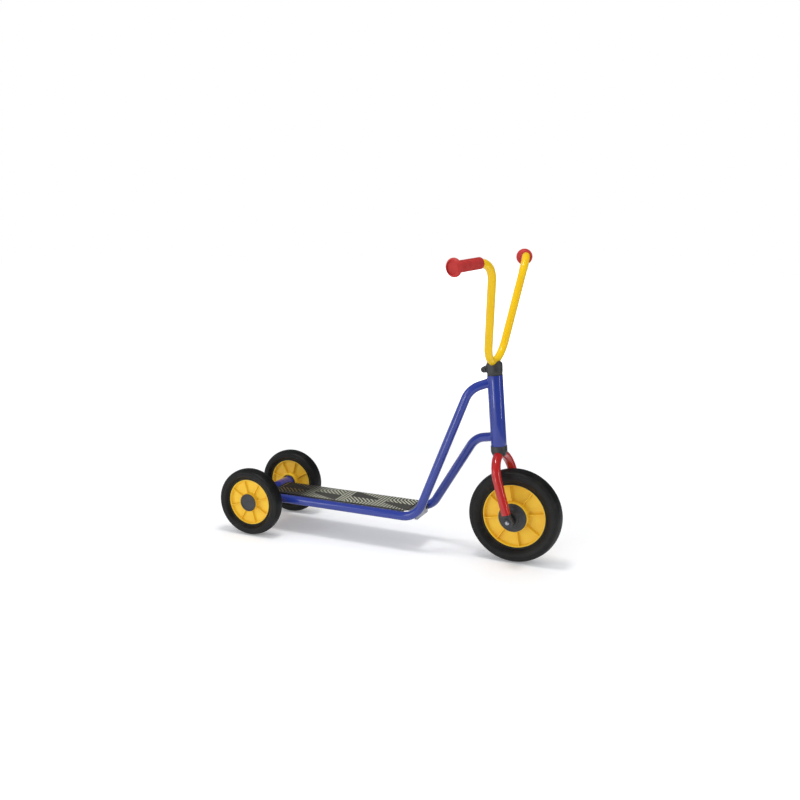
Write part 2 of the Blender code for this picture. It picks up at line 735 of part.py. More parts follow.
def make_rear_axle():
    along = axis_matrix(REAR_AXLE, (0, 1, 0))
    floor_out = REAR_WHEEL_Y + REAR_FLOOR_OUT + BUSH_FLANGE + GAP
    washer_out = floor_out + GAP
    nut_out = washer_out + WASHER_THICKNESS + GAP
    rod_end = nut_out + REAR_NUT_HEIGHT + GAP
    rod("rear_axle_rod", REAR_AXLE_RADIUS, -rod_end, rod_end, MEDIUM_SIDES, ZINC, along)
    bore = REAR_AXLE_RADIUS + GAP
    tube_bore = AXLE_TUBE_RADIUS - AXLE_TUBE_WALL
    half = AXLE_TUBE_HALF_LENGTH
    for side, sign in (("right", -1), ("left", 1)):
        out = axis_matrix(REAR_AXLE, (0, sign, 0))
        plug = [
            (AXLE_TUBE_RADIUS, half + BUSH_FLANGE),
            (AXLE_TUBE_RADIUS, half + GAP),
            (tube_bore - GAP, half + GAP),
            (tube_bore - GAP, half - AXLE_PLUG_DEPTH),
            (bore, half - AXLE_PLUG_DEPTH),
            (bore, half + BUSH_FLANGE),
        ]
        turned("rear_axle_plug_" + side, plug, MEDIUM_SIDES, BLACK, out)
        for place, low in (("inner", half + BUSH_FLANGE + GAP), ("outer", washer_out)):
            name = f"rear_{place}_washer_{side}"
            high = low + WASHER_THICKNESS
            rim_radius = REAR_AXLE_RADIUS + REAR_WASHER_RIM
            sleeve(name, rim_radius, bore, low, high, MEDIUM_SIDES, ZINC, out)
        nut_top = nut_out + REAR_NUT_HEIGHT
        hex_nut("rear_lock_nut_" + side, REAR_NUT_RIM, REAR_AXLE_RADIUS, nut_out, nut_top, out)


def make_rear_wheel(side, sign):
    centre = REAR_AXLE + Vector((0, sign * REAR_WHEEL_Y, 0))
    matrix = wheel_frame(centre, sign)
    bore = REAR_AXLE_RADIUS + RUN
    cap_rim = REAR_HUB_BORE - GAP
    cap_top = REAR_HUB_OUT + HUB_CAP_PROUD
    skirt = REAR_FLOOR_OUT + GAP
    cap = [
        (0, cap_top),
        (cap_rim - EDGE_CUT, cap_top),
        (cap_rim, cap_top - EDGE_CUT),
        (cap_rim, skirt),
        (cap_rim - HUB_CAP_WALL, skirt),
        (cap_rim - HUB_CAP_WALL, cap_top - HUB_CAP_WALL),
        (0, cap_top - HUB_CAP_WALL),
    ]
    pieces = [
        rim("rear_rim_" + side, REAR_SIZE, DISC_YELLOW, matrix, REAR_RIB_TURN),
        tyre("rear_tyre_" + side, REAR_SIZE, TYRE_BLACK, matrix),
        turned("rear_hub_cap_" + side, cap, MEDIUM_SIDES, BLACK, matrix, ring=False),
    ]
    for place, floor, direction in (("inner", REAR_FLOOR_IN, -1), ("outer", REAR_FLOOR_OUT, 1)):
        name = f"rear_{place}_bush_{side}"
        size = (REAR_BUSH_RADIUS, bore, REAR_BUSH_RADIUS + REAR_BUSH_RIM)
        pieces.append(flanged_bush(name, *size, floor, direction, matrix))
    carry(empty("rear_wheel_axis_" + side, matrix), pieces)


def make_front_wheel():
    matrix = wheel_frame(FRONT_AXLE, -1)
    bore = FRONT_AXLE_RADIUS + RUN
    pieces = [
        rim("front_rim", FRONT_SIZE, DISC_YELLOW, matrix, FRONT_RIB_TURN),
        tyre("front_tyre", FRONT_SIZE, TYRE_BLACK, matrix),
    ]
    low = FRONT_FLOOR + BUSH_FLANGE + 2 * GAP
    cap_rim = FRONT_HUB_BORE - GAP
    cap = [
        (FRONT_CAP_BOSS_RADIUS, FRONT_CAP_REACH),
        (FRONT_CAP_BOSS_RADIUS + EMBED, FRONT_HUB_OUT + FRONT_CAP_RISE),
        (cap_rim - FRONT_CAP_RISE, FRONT_HUB_OUT + EDGE_CUT),
        (cap_rim, FRONT_HUB_OUT - EDGE_CUT),
        (cap_rim, low),
        (SPACER_RADIUS + FRONT_CAP_CLEARANCE, low),
        (SPACER_RADIUS + FRONT_CAP_CLEARANCE, FRONT_CAP_REACH),
    ]
    for side, sign in (("right", 1), ("left", -1)):
        name = "front_bush_" + side
        size = (FRONT_BUSH_RADIUS, bore, FRONT_BUSH_RADIUS + FRONT_BUSH_RIM)
        pieces.append(flanged_bush(name, *size, FRONT_FLOOR, sign, matrix))
        place = wheel_frame(FRONT_AXLE, -sign)
        pieces.append(turned("front_hub_cap_" + side, cap, MEDIUM_SIDES, BLACK, place))
    return pieces


def make_fork_end(side, sign):
    """A moulded end: a plug in the leg's tube and a flat rounded tongue that holds the axle."""
    foot = FRONT_AXLE + Vector((0, sign * FORK_HALF_SPACING, 0))
    leg = axis_matrix(foot, -FORK_DOWN)
    inner = FORK_TUBE_RADIUS - FORK_TUBE_WALL - 2 * GAP
    collar_top = LEG_END_DISTANCE - GAP
    collar = [
        (0, collar_top + FORK_PLUG_DEPTH),
        (inner, collar_top + FORK_PLUG_DEPTH),
        (inner, collar_top),
        (FORK_TUBE_RADIUS, collar_top),
        (FORK_TUBE_RADIUS, collar_top - COLLAR_HEIGHT),
        (FORK_END_HALF_THICKNESS - 2 * INSET, collar_top - COLLAR_HEIGHT - COLLAR_TAPER),
        (0, collar_top - COLLAR_HEIGHT - COLLAR_TAPER),
    ]
    obj = turned("fork_end_" + side, collar, MEDIUM_SIDES, BLACK, leg, ring=False)
    half = FORK_END_HALF_THICKNESS
    across = axis_matrix(foot, (0, 1, 0))
    eye_radius = FORK_END_HALF_WIDTH
    eye = rod("fork_end_eye_" + side, eye_radius, -half, half, LARGE_SIDES, None, across)
    wide = FORK_END_HALF_WIDTH - 2 * EMBED
    tongue = block(
        "fork_end_tongue_" + side,
        (-wide, INSET - half, 0),
        (wide, half - INSET, collar_top - COLLAR_HEIGHT - EMBED),
        None,
        leg,
    )
    bore = FRONT_AXLE_RADIUS + GAP
    reach = half + CUT_PAST
    hole = rod("fork_end_hole_" + side, bore, -reach, reach, MEDIUM_SIDES, None, across)
    cut(obj, eye, "UNION")
    cut(obj, tongue, "UNION")
    cut(obj, hole)
    return obj


def make_fork():
    """One tube bent to a half circle over the wheel, with straight legs down to the axle."""
    leg_end = FRONT_AXLE - FORK_DOWN * LEG_END_DISTANCE
    arch_centre = CROWN + FORK_DOWN * FORK_HALF_SPACING
    side = Vector((0, FORK_HALF_SPACING, 0))
    path = [leg_end - side]
    for step in range(ARCH_STEPS + 1):
        angle = math.pi * step / ARCH_STEPS
        path.append(arch_centre - side * math.cos(angle) - FORK_DOWN * side.y * math.sin(angle))
    path.append(leg_end + side)
    fork = tube("fork_legs", path, FORK_TUBE_RADIUS, FORK_TUBE_WALL, RED)
    arch_cutter = solid_sweep("arch_cutter", path, FORK_TUBE_RADIUS + GAP)

    axis = axis_matrix(HEAD_FOOT, UP_AXIS)
    foot = FORK_TUBE_RADIUS / 2 - (CROWN - HEAD_FOOT).length
    bore = STEERER_RADIUS - STEERER_WALL
    top = SEAT_ABOVE_HEAD - GAP
    steerer = sleeve("steerer_tube", STEERER_RADIUS, bore, foot, top, LARGE_SIDES, RED, axis)
    cut(steerer, arch_cutter)
    bush_gap = BUSH_FLANGE + 3 * GAP
    cover = [
        (HEAD_RADIUS, -bush_gap),
        (HEAD_RADIUS, -bush_gap - COVER_DEPTH / 2),
        (COVER_FOOT_RADIUS + EMBED, -bush_gap - COVER_DEPTH + EMBED),
        (COVER_FOOT_RADIUS, -bush_gap - COVER_DEPTH),
        (STEERER_RADIUS + GAP, -bush_gap - COVER_DEPTH),
        (STEERER_RADIUS + GAP, -bush_gap),
    ]
    crown_cover = turned("crown_cover", cover, LARGE_SIDES, BLACK, axis)
    cut(crown_cover, arch_cutter)

    pieces = [fork, steerer, crown_cover]
    inner_face = FORK_HALF_SPACING - FORK_END_HALF_THICKNESS
    outer_face = FORK_HALF_SPACING + FORK_END_HALF_THICKNESS
    hole = FRONT_AXLE_RADIUS + GAP
    for name, sign in (("right", -1), ("left", 1)):
        out = axis_matrix(FRONT_AXLE, (0, sign, 0))
        pieces.append(make_fork_end(name, sign))
        low = FRONT_FLOOR + BUSH_FLANGE + 2 * GAP
        high = inner_face - GAP
        spacer = ("front_spacer_" + name, SPACER_RADIUS, hole, low, high)
        pieces.append(sleeve(*spacer, MEDIUM_SIDES, BLACK, out))
        low = outer_face + GAP
        rim_radius = FRONT_AXLE_RADIUS + FRONT_WASHER_RIM
        washer = ("front_washer_" + name, rim_radius, hole, low, low + WASHER_THICKNESS)
        pieces.append(sleeve(*washer, MEDIUM_SIDES, ZINC, out))
    seat = outer_face + WASHER_THICKNESS + 2 * GAP
    right = axis_matrix(FRONT_AXLE, (0, -1, 0))
    nut_top = seat + FRONT_NUT_HEIGHT
    head = FRONT_AXLE_RADIUS + AXLE_BOLT_HEAD_RIM
    bolt = [
        (0, seat + AXLE_BOLT_HEAD_HEIGHT),
        (head - EDGE_CUT, seat + AXLE_BOLT_HEAD_HEIGHT),
        (head, seat + AXLE_BOLT_HEAD_HEIGHT - EDGE_CUT),
        (head, seat),
        (FRONT_AXLE_RADIUS, seat),
        (FRONT_AXLE_RADIUS, -nut_top - EMBED),
        (0, -nut_top - EMBED),
    ]
    pieces.append(turned("front_axle_bolt", bolt, MEDIUM_SIDES, ZINC, right, ring=False))
    left = axis_matrix(FRONT_AXLE, (0, 1, 0))
    nut = hex_nut("front_axle_nut", FRONT_NUT_RIM, FRONT_AXLE_RADIUS, seat, nut_top, left)
    pieces.append(nut)
    return pieces


def make_head_bushes():
    """Two nylon bushes, one in each end of the head tube, which guide the steerer."""
    outer = HEAD_RADIUS - HEAD_WALL - GAP
    bore = STEERER_RADIUS + RUN
    flange = HEAD_RADIUS - GAP
    profile = [
        (flange, BUSH_FLANGE + GAP),
        (flange, GAP),
        (outer, GAP),
        (outer, -HEAD_BUSH_DEPTH),
        (bore, -HEAD_BUSH_DEPTH),
        (bore, BUSH_FLANGE + GAP),
    ]
    top = axis_matrix(HEAD_TOP, UP_AXIS)
    turned("upper_head_bush", profile, LARGE_SIDES, BLACK, top)
    bottom = axis_matrix(HEAD_FOOT, UP_AXIS) @ Matrix.Rotation(math.pi, 4, "X")
    turned("lower_head_bush", profile, LARGE_SIDES, BLACK, bottom)


def bar_corners(end_length):
    """The handlebar's centre line: a V with a round foot, bent out and back to the two grips."""
    apex = BAR_FOOT - BAR_UP * BAR_FOOT_RADIUS * (1 / math.sin(BAR_HALF_ANGLE) - 1)
    corners = []
    ends = []
    for sign in (-1, 1):
        rise = BAR_LEG_LENGTH * math.cos(BAR_HALF_ANGLE)
        side = sign * BAR_LEG_LENGTH * math.sin(BAR_HALF_ANGLE)
        corner = apex + BAR_UP * rise + Vector((0, side, 0))
        back = -math.sin(BAR_SWEEP) * math.cos(BAR_DROOP)
        out = sign * math.cos(BAR_SWEEP) * math.cos(BAR_DROOP)
        corners.append(corner)
        ends.append(corner + Vector((back, out, -math.sin(BAR_DROOP))) * end_length)
    return [ends[0], corners[0], apex, corners[1], ends[1]]


def bar_centre_line():
    radii = [BAR_TOP_RADIUS, BAR_FOOT_RADIUS, BAR_TOP_RADIUS]
    return filleted(bar_corners(BAR_END_LENGTH), radii)


def make_grip(side):
    """A soft grip pushed over the bar's end, with a wide flange at its closed outer end."""
    points = bar_corners(GRIP_END)
    if side == "left":
        points.reverse()
    end, corner, foot = points[:3]
    line = filleted([foot, corner, end], [BAR_TOP_RADIUS])
    out = (end - corner).normalized()
    centre = [point for point in line if (point - corner).dot(out) > GRIP_START]
    flange = GRIP_FLANGE_RADIUS / GRIP_RADIUS
    edge = (GRIP_FLANGE_RADIUS - GRIP_FLANGE_EDGE) / GRIP_RADIUS
    cone_start = end - out * (GRIP_FLANGE_WIDTH + GRIP_FLANGE_CONE)
    cone_end = cone_start + out * GRIP_FLANGE_CONE
    path = centre[:-1] + [cone_start, cone_end, end - out * GRIP_FLANGE_EDGE, end]
    scales = [1.0] * len(centre) + [edge, flange, edge]
    grip = solid_sweep("grip_" + side, path, GRIP_RADIUS, GRIP_RED, scales)
    bore_path = [point for point in line if (point - corner).dot(out) > 0][:-1]
    bore_path.append(corner + out * (BAR_END_LENGTH + GAP))
    cut(grip, solid_sweep("grip_bore_" + side, bore_path, BAR_RADIUS + GAP))
    return grip


def make_clamp():
    """A moulded collar round the steerer's top, its saddle under the bar and a pinch lug behind."""
    low = HEAD_LENGTH + BUSH_FLANGE + 2 * GAP
    seat = SEAT_ABOVE_HEAD
    axis = axis_matrix(HEAD_FOOT, UP_AXIS)
    bore = STEERER_RADIUS + GAP
    cradle = seat + CRADLE_RISE
    body = [
        (CLAMP_RADIUS - EDGE_CUT, cradle),
        (CLAMP_RADIUS, cradle - EDGE_CUT),
        (CLAMP_RADIUS, low),
        (bore, low),
        (bore, cradle),
    ]
    clamp = turned("handlebar_clamp", body, LARGE_SIDES, BLACK, axis)
    lug_height = low + CLAMP_LUG_HEIGHT
    lug_frame = axis @ Matrix.Translation((-CLAMP_LUG_REACH, 0, lug_height))
    lug_axle = lug_frame @ Matrix.Rotation(math.pi / 2, 4, "X")
    half = CLAMP_LUG_HALF_WIDTH
    radius = CLAMP_LUG_RADIUS
    cut(clamp, rod("clamp_lug_end", radius, -half, half, LARGE_SIDES, None, lug_axle), "UNION")
    neck = block(
        "clamp_lug_neck",
        (0, INSET - half, INSET - radius),
        (CLAMP_LUG_REACH - bore - EMBED, half - INSET, radius - INSET),
        None,
        lug_frame,
    )
    cut(clamp, neck, "UNION")
    slot = block(
        "clamp_slot",
        (-radius - CUT_PAST, -CLAMP_SLOT / 2, low - lug_height - CUT_PAST),
        (CLAMP_LUG_REACH, CLAMP_SLOT / 2, radius + CUT_PAST),
        None,
        lug_frame,
    )
    cut(clamp, slot)
    hole = CLAMP_BOLT_RADIUS + GAP
    reach = half + CUT_PAST
    cut(clamp, rod("clamp_bolt_hole", hole, -reach, reach, SMALL_SIDES, None, lug_axle))
    cut(clamp, solid_sweep("bar_cutter", bar_centre_line(), BAR_RADIUS + GAP))
    face = half + GAP
    head = face + CLAMP_BOLT_HEAD_HEIGHT
    bolt_end = face + CLAMP_NUT_HEIGHT + EMBED
    bolt_profile = [
        (0, head),
        (CLAMP_BOLT_HEAD_RADIUS - EMBED, head),
        (CLAMP_BOLT_HEAD_RADIUS, head - EMBED),
        (CLAMP_BOLT_HEAD_RADIUS, face),
        (CLAMP_BOLT_RADIUS, face),
        (CLAMP_BOLT_RADIUS, -bolt_end),
        (0, -bolt_end),
    ]
    bolt = turned("clamp_bolt", bolt_profile, SMALL_SIDES, ZINC, lug_axle, ring=False)
    nut_end = -face - CLAMP_NUT_HEIGHT
    nut = hex_nut("clamp_nut", CLAMP_NUT_RIM, CLAMP_BOLT_RADIUS, nut_end, -face, lug_axle)
    return [clamp, bolt, nut]


def make_handlebar():
    bar = tube("handlebar", bar_centre_line(), BAR_RADIUS, BAR_WALL, YELLOW)
    axis = axis_matrix(HEAD_FOOT, UP_AXIS)
    low = SEAT_ABOVE_HEAD - STEM_DEPTH
    high = SEAT_ABOVE_HEAD + BAR_RADIUS / 2
    bore = STEM_RADIUS - STEM_WALL
    stem = sleeve("handlebar_stem", STEM_RADIUS, bore, low, high, MEDIUM_SIDES, YELLOW, axis)
    cut(stem, bpy.data.objects["bar_cutter"])
    return [bar, stem, make_grip("right"), make_grip("left")]


def main():
    make_frame()
    make_deck()
    make_rear_axle()
    make_rear_wheel("right", -1)
    make_rear_wheel("left", 1)
    make_head_bushes()
    steering = empty("steering_axis", axis_matrix(HEAD_FOOT, UP_AXIS))
    carry(steering, make_fork() + make_clamp() + make_handlebar())
    wheel_axis = empty("front_wheel_axis", wheel_frame(FRONT_AXLE, -1))
    carry(wheel_axis, make_front_wheel())
    carry(steering, [wheel_axis])


main()
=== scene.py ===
# %% [markdown]
# A three-wheel kids scooter: the look of it
#
# The scooter stands here already as plain solids: a bent tube frame on two rear wheels, and a fork
# with the front wheel and the handlebar that turn together. The solids say where each piece is and
# how it moves. This lesson models what the eye sees around them: painted tubes with their welds,
# moulded wheels, rubber tyres, a ribbed deck mat, the clamp and the grips, each with its own
# finish.

# %% The solids
import math

import bmesh
import bpy
from mathutils import Matrix, Vector


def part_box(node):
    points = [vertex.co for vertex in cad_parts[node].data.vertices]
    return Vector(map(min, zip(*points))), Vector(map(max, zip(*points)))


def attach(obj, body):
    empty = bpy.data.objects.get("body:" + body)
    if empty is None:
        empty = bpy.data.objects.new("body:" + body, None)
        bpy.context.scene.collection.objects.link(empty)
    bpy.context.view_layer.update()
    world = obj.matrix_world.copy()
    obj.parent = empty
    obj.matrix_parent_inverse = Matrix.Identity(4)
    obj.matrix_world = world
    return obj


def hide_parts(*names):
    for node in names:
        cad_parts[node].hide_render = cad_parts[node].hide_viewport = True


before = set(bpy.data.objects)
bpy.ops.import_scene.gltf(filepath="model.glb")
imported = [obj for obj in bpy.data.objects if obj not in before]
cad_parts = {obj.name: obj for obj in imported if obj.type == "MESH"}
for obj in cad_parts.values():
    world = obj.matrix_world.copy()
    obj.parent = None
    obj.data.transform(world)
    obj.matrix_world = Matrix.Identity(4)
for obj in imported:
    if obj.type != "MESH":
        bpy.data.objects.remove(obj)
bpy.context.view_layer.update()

# %% [markdown]
# The camera
#
# The photograph is taken from the scooter's right, a little in front and above, with a fairly long
# lens. Its place was worked out from the ellipses of the three wheels, so it isn't moved to taste.

# %% The camera
bpy.ops.object.camera_add(
    location=(1.05795, -2.2740, 0.9383),
    rotation=(math.radians(90 - 11.759), 0, math.radians(24.376)),
)
camera = bpy.context.object
camera.data.sensor_width = 36
camera.data.lens = 40.90
bpy.context.scene.camera = camera
bpy.context.scene.view_settings.view_transform = "Standard"
print("the camera looks from", [round(part, 3) for part in camera.location])

# %% [markdown]
# Shader sums
#
# A finish is a small tree of nodes. Written link by link it is hard to read, so one class wraps a
# socket and lets it stand in a sum: 1 - dust adds the Math node by itself. Every other kind of
# node comes from one method, which sets the node's choices first and its sockets after.


# %% A socket that can stand in a sum
class Wire:
    """An output socket. Each operator on it adds a Math node to the tree on the bench."""

    tree = None

    def __init__(self, socket):
        self.socket = socket

    def __add__(self, other):
        return Wire.node("Math", {"operation": "ADD"}, {0: self, 1: other})

    def __sub__(self, other):
        return Wire.node("Math", {"operation": "SUBTRACT"}, {0: self, 1: other})

    def __rsub__(self, other):
        return Wire.node("Math", {"operation": "SUBTRACT"}, {0: other, 1: self})

    def __mul__(self, other):
        return Wire.node("Math", {"operation": "MULTIPLY"}, {0: self, 1: other})

    __radd__ = __add__
    __rmul__ = __mul__

    def out(self, name):
        """Another output of the same node."""
        return Wire(self.socket.node.outputs[name])

    @classmethod
    def node(cls, kind, choices=None, sockets=None, output=0):
        """A new node: its choices, then the values or links of its sockets."""
        made = cls.tree.nodes.new("ShaderNode" + kind)
        for name, value in (choices or {}).items():
            setattr(made, name, value)
        plug_in(made, sockets or {})
        return cls(made.outputs[output])


def plug_in(node, sockets):
    """Sets the sockets that get a plain value and links those that get a wire."""
    for name, value in sockets.items():
        if isinstance(value, Wire):
            Wire.tree.links.new(value.socket, node.inputs[name])
        else:
            node.inputs[name].default_value = value


# %% The few nodes that every finish uses
def colour(red, green, blue):
    """A colour as read off a screen, 0 to 255, in the light values that a shader works with."""
    parts = [part / 255 for part in (red, green, blue)]
    light = [part / 12.92 if part < 0.04045 else ((part + 0.055) / 1.055) ** 2.4 for part in parts]
    return (*light, 1)


def place():
    return Wire.node("TexCoord", output="Object")


def coordinate(axis, where=None):
    """How far a point lies along X, Y or Z, in metres on a piece."""
    return Wire.node("SeparateXYZ", sockets={0: where or place()}, output=axis)


def cloud(patches, detail=2.0):
    """A soft noise from 0 to 1, with about so many patches to the metre."""
    sockets = {"Vector": place(), "Scale": patches, "Detail": detail}
    return Wire.node("TexNoise", {}, sockets, "Fac")


def rise(value, low, high):
    """0 below low, 1 above high, and a soft step between."""
    sockets = {"Value": value, "From Min": low, "From Max": high}
    return Wire.node("MapRange", {"interpolation_type": "SMOOTHSTEP"}, sockets, "Result")


def mixed(share, one, other):
    """The first colour where share is 0, the second where it is 1."""
    return Wire.node("Mix", {"data_type": "RGBA"}, {0: share, 6: one, 7: other}, 2)


def relief(height, depth):
    """A fine unevenness, so many metres deep, that only bends the light."""
    return Wire.node("Bump", {}, {"Height": height, "Distance": depth}, "Normal")


FINISHES = {}


def new_finish(slot):
    """Puts an empty finish for this slot of the record on the bench."""
    material = bpy.data.materials.new("scooter_" + slot)
    material.use_nodes = True
    Wire.tree = material.node_tree
    FINISHES[slot] = material


def shade(sockets):
    """Sets or links the shader's sockets of the finish on the bench."""
    plug_in(Wire.tree.nodes["Principled BSDF"], sockets)
    print(len(Wire.tree.nodes), "nodes in", list(FINISHES)[-1])


# %% [markdown]
# The studio
#
# The shadows under the deck and the wheels lie almost straight below them, which puts one soft
# lamp 2.8 metres up, over the middle. Their edges are about 20 millimetres wide, so the lamp is
# about half a metre across. Most of the other light comes from all around, as from pale walls, and
# a large soft lamp on the left with a small one near the floor lifts the discs of the wheels. The
# upright tubes show a pale side, a dark middle and a thin bright line: the pale floor on the left,
# the dark part of the room where the camera stands, and a strip lamp on the right.

# %% The lamps
def lamp(name, spot, aim, width, height, power):
    """A flat lamp at a spot, turned to the point that it lights."""
    turn = (Vector(aim) - Vector(spot)).to_track_quat("-Z", "Y").to_euler()
    bpy.ops.object.light_add(type="AREA", location=spot, rotation=turn)
    made = bpy.context.object
    made.name = name
    made.data.shape = "RECTANGLE"
    made.data.size = width
    made.data.size_y = height
    made.data.energy = power
    print("lamp", name, power, "watts")


lamp("top_lamp", (0.0, -0.27, 2.77), (0, 0, 0), 0.60, 0.60, 22)
lamp("strip_lamp", (2.3, -0.21, 0.82), (0.37, 0, 0.5), 0.16, 1.55, 7)
lamp("left_lamp", (-2.2, -2.6, 1.5), (0, 0, 0.3), 1.2, 1.6, 19)
lamp("low_lamp", (-0.45, -2.0, 0.30), (0.2, 0, 0.3), 0.50, 0.55, 4.5)

# %% The floor and the room
FLOOR_SIZE = 24
FLOOR_DROP = 0.0003
DARK_SIDE = (0.988, 0.156, 0.0)


def grey(value):
    return (value, value, value, 1)


def toward_dark(way):
    """How far a way goes towards the dark side of the room."""
    return Wire.node("VectorMath", {"operation": "DOT_PRODUCT"}, {0: way, 1: DARK_SIDE}, "Value")


bpy.ops.mesh.primitive_plane_add(size=FLOOR_SIZE, location=(0, 0, -FLOOR_DROP))
floor = bpy.context.object
floor.name = "studio_floor"
paper = bpy.data.materials.new("white_paper_floor")
paper.use_nodes = True
Wire.tree = paper.node_tree
rays = Wire.node("LightPath")
reach = Wire.node("VectorMath", {"operation": "LENGTH"}, {0: place()}, "Value")
behind = rise(coordinate("Y"), 0.9, 1.2)
dark_right = rise(toward_dark(place()), 0.2, 0.4) * rise(reach, 1.3, 1.5)
dark_floor = rays.out("Is Glossy Ray") * (1 - (1 - dark_right) * (1 - behind))
glow = mixed(rise(reach, 1.0, 2.6), grey(0.16), grey(1.0))
plug_in(
    paper.node_tree.nodes["Principled BSDF"],
    {
        "Base Color": mixed(dark_floor, grey(0.94), grey(0.12)),
        "Roughness": 0.9,
        "Specular IOR Level": 0.0,
        "Emission Color": mixed(rays.out("Is Camera Ray"), grey(0), glow),
        "Emission Strength": 1.0,
    },
)
floor.data.materials.append(paper)

room = bpy.data.worlds.new("studio_room")
room.use_nodes = True
bpy.context.scene.world = room
Wire.tree = room.node_tree
rays = Wire.node("LightPath")
way = Wire.node("TexCoord", output="Generated")
ceiling = rise(coordinate("Z", way), 0.04, 0.16)
pale_wall = (1 - rise(toward_dark(way), -0.24, -0.06)) * (1 - ceiling * 0.8)
backdrop = rays.out("Is Camera Ray")
shown = mixed((1 - pale_wall) * (1 - backdrop), grey(1.0), grey(0.08))
mirrored = rays.out("Is Glossy Ray") + rays.out("Is Transmission Ray") + backdrop
plug_in(
    room.node_tree.nodes["Background"],
    {"Color": mixed(mirrored, (0.63, 0.64, 0.66, 1), shown), "Strength": 1.0},
)
print("the floor is", FLOOR_SIZE, "metres wide")

# %% [markdown]
# Paint
#
# The tubes carry a sprayed and baked enamel. It is even in colour, smooth to the touch, and shows
# a faint orange peel in its reflections. A coat over a duller base gives the crisp highlight on
# top of a deep colour, and a slow drift of the tone keeps long tubes from looking computed.


# %% Enamel for the frame, the fork and the handlebar
def two_tone(slot, main, deep, patches, rough, shine, grain, step=(0.35, 0.75), share=0.6):
    """Soft patches of a second, duller tone, under a fine grain. Returns the patches."""
    new_finish(slot)
    tone = rise(cloud(*patches), *step)
    grains, detail, depth = grain
    shade(
        {
            "Base Color": mixed(tone * share, colour(*main), colour(*deep)),
            "Roughness": rough[0] + tone * rough[1],
            "Specular IOR Level": shine,
            "Normal": relief(cloud(grains, detail), depth),
        }
    )
    return tone


def enamel(slot, main, deep, coat=0.95):
    """A two-tone base with a smooth, clear coat on it."""
    peel = (420.0, 1.0, 0.00002)
    tone = two_tone(slot, main, deep, (14.0, 2.0), (0.30, 0.08), 0.25, peel, step=(0.35, 0.7))
    shade({"Coat Weight": coat - tone * 0.1, "Coat Roughness": 0.045})


enamel("blue_enamel", (36, 57, 149), (31, 48, 136))
enamel("red_enamel", (190, 26, 25), (172, 20, 21))
enamel("yellow_enamel", (242, 198, 2), (238, 186, 4), coat=0.25)

# %% [markdown]
# Moulded plastic and rubber
#
# The wheel discs are thick moulded plastic, coloured through, with a fine satin grain from the
# mould. Tyres, mat and grips are rubber: hardly any shine, a little dust in patches, and a skin
# that is never quite one tone.

# %% Yellow plastic of the wheel discs
new_finish("yellow_plastic")
flow = rise(cloud(26.0, 3.0), 0.3, 0.72)
grain = cloud(1900.0, 1.0)
shade(
    {
        "Base Color": mixed(flow * 0.5, colour(248, 206, 54), colour(245, 188, 44)),
        "Roughness": 0.40 + grain * 0.12,
        "Specular IOR Level": 0.45,
        "Normal": relief(grain, 0.00003),
    }
)

# %% Rubber of the tyres and grips, black plastic of the small parts
two_tone(
    "tyre_rubber", (14, 15, 15), (42, 43, 38), patches=(38.0, 5.0), rough=(0.50, 0.16),
    shine=0.33, grain=(1400.0, 2.0, 0.00006), step=(0.42, 0.78), share=0.55,
)
two_tone(
    "red_rubber", (194, 46, 42), (170, 38, 36), patches=(70.0, 4.0), rough=(0.58, 0.12),
    shine=0.4, grain=(1600.0, 2.0, 0.00005),
)
two_tone(
    "black_plastic", (48, 49, 51), (66, 68, 68), patches=(60.0, 4.0), rough=(0.42, 0.14),
    shine=0.5, grain=(1500.0, 2.0, 0.00005),
)

# %% Nylon of the bushes
new_finish("white_nylon")
cloudy = cloud(90.0, 3.0)
shade(
    {
        "Base Color": mixed(cloudy, colour(222, 220, 210), colour(206, 203, 190)),
        "Roughness": 0.38 + cloudy * 0.12,
        "Normal": relief(cloud(900.0, 1.0), 0.00003),
    }
)

# %% [markdown]
# Zinc
#
# The deck's sheet and the small fasteners are bare steel with a zinc skin. Zinc freezes in flat
# crystals a few millimetres across, each a slightly different grey, which a cell pattern gives.

# %% Zinc-coated steel
new_finish("zinc_steel")
crystal = Wire.node("TexVoronoi", {}, {"Vector": place(), "Scale": 160.0}, "Color")
tint = Wire.node("SeparateColor", sockets={0: crystal}, output="Red")
wiped = cloud(45.0, 4.0)
shade(
    {
        "Base Color": mixed(tint * 0.7, colour(182, 184, 192), colour(146, 150, 158)),
        "Metallic": 1.0,
        "Roughness": 0.30 + tint * 0.12 + wiped * 0.14,
        "Normal": relief(cloud(1200.0, 2.0), 0.00002),
    }
)

# %% [markdown]
# Mat rubber
#
# The mat is black rubber. The tops of its ribs are paler than the valleys, partly from wear and
# dust, partly as a painted sheen. Behind where the feet stand, the mat is painted darker and
# browner: the painted shade of the rear wheels and the yellow of their discs. The finish reads the
# place in the
# mesh: the top half millimetre of the ribs is paler, and what lies far back gets the painted
# shade.

# %% Mat rubber with rib tops painted paler and a painted shade behind
MAT_TOP = 0.1158
new_finish("mat_rubber")
# The top half millimetre of the ribs is paler: partly wear and dust, partly a painted sheen
rib_top_wear_and_sheen = rise(coordinate("Z"), MAT_TOP - 0.0005, MAT_TOP - 0.0002)
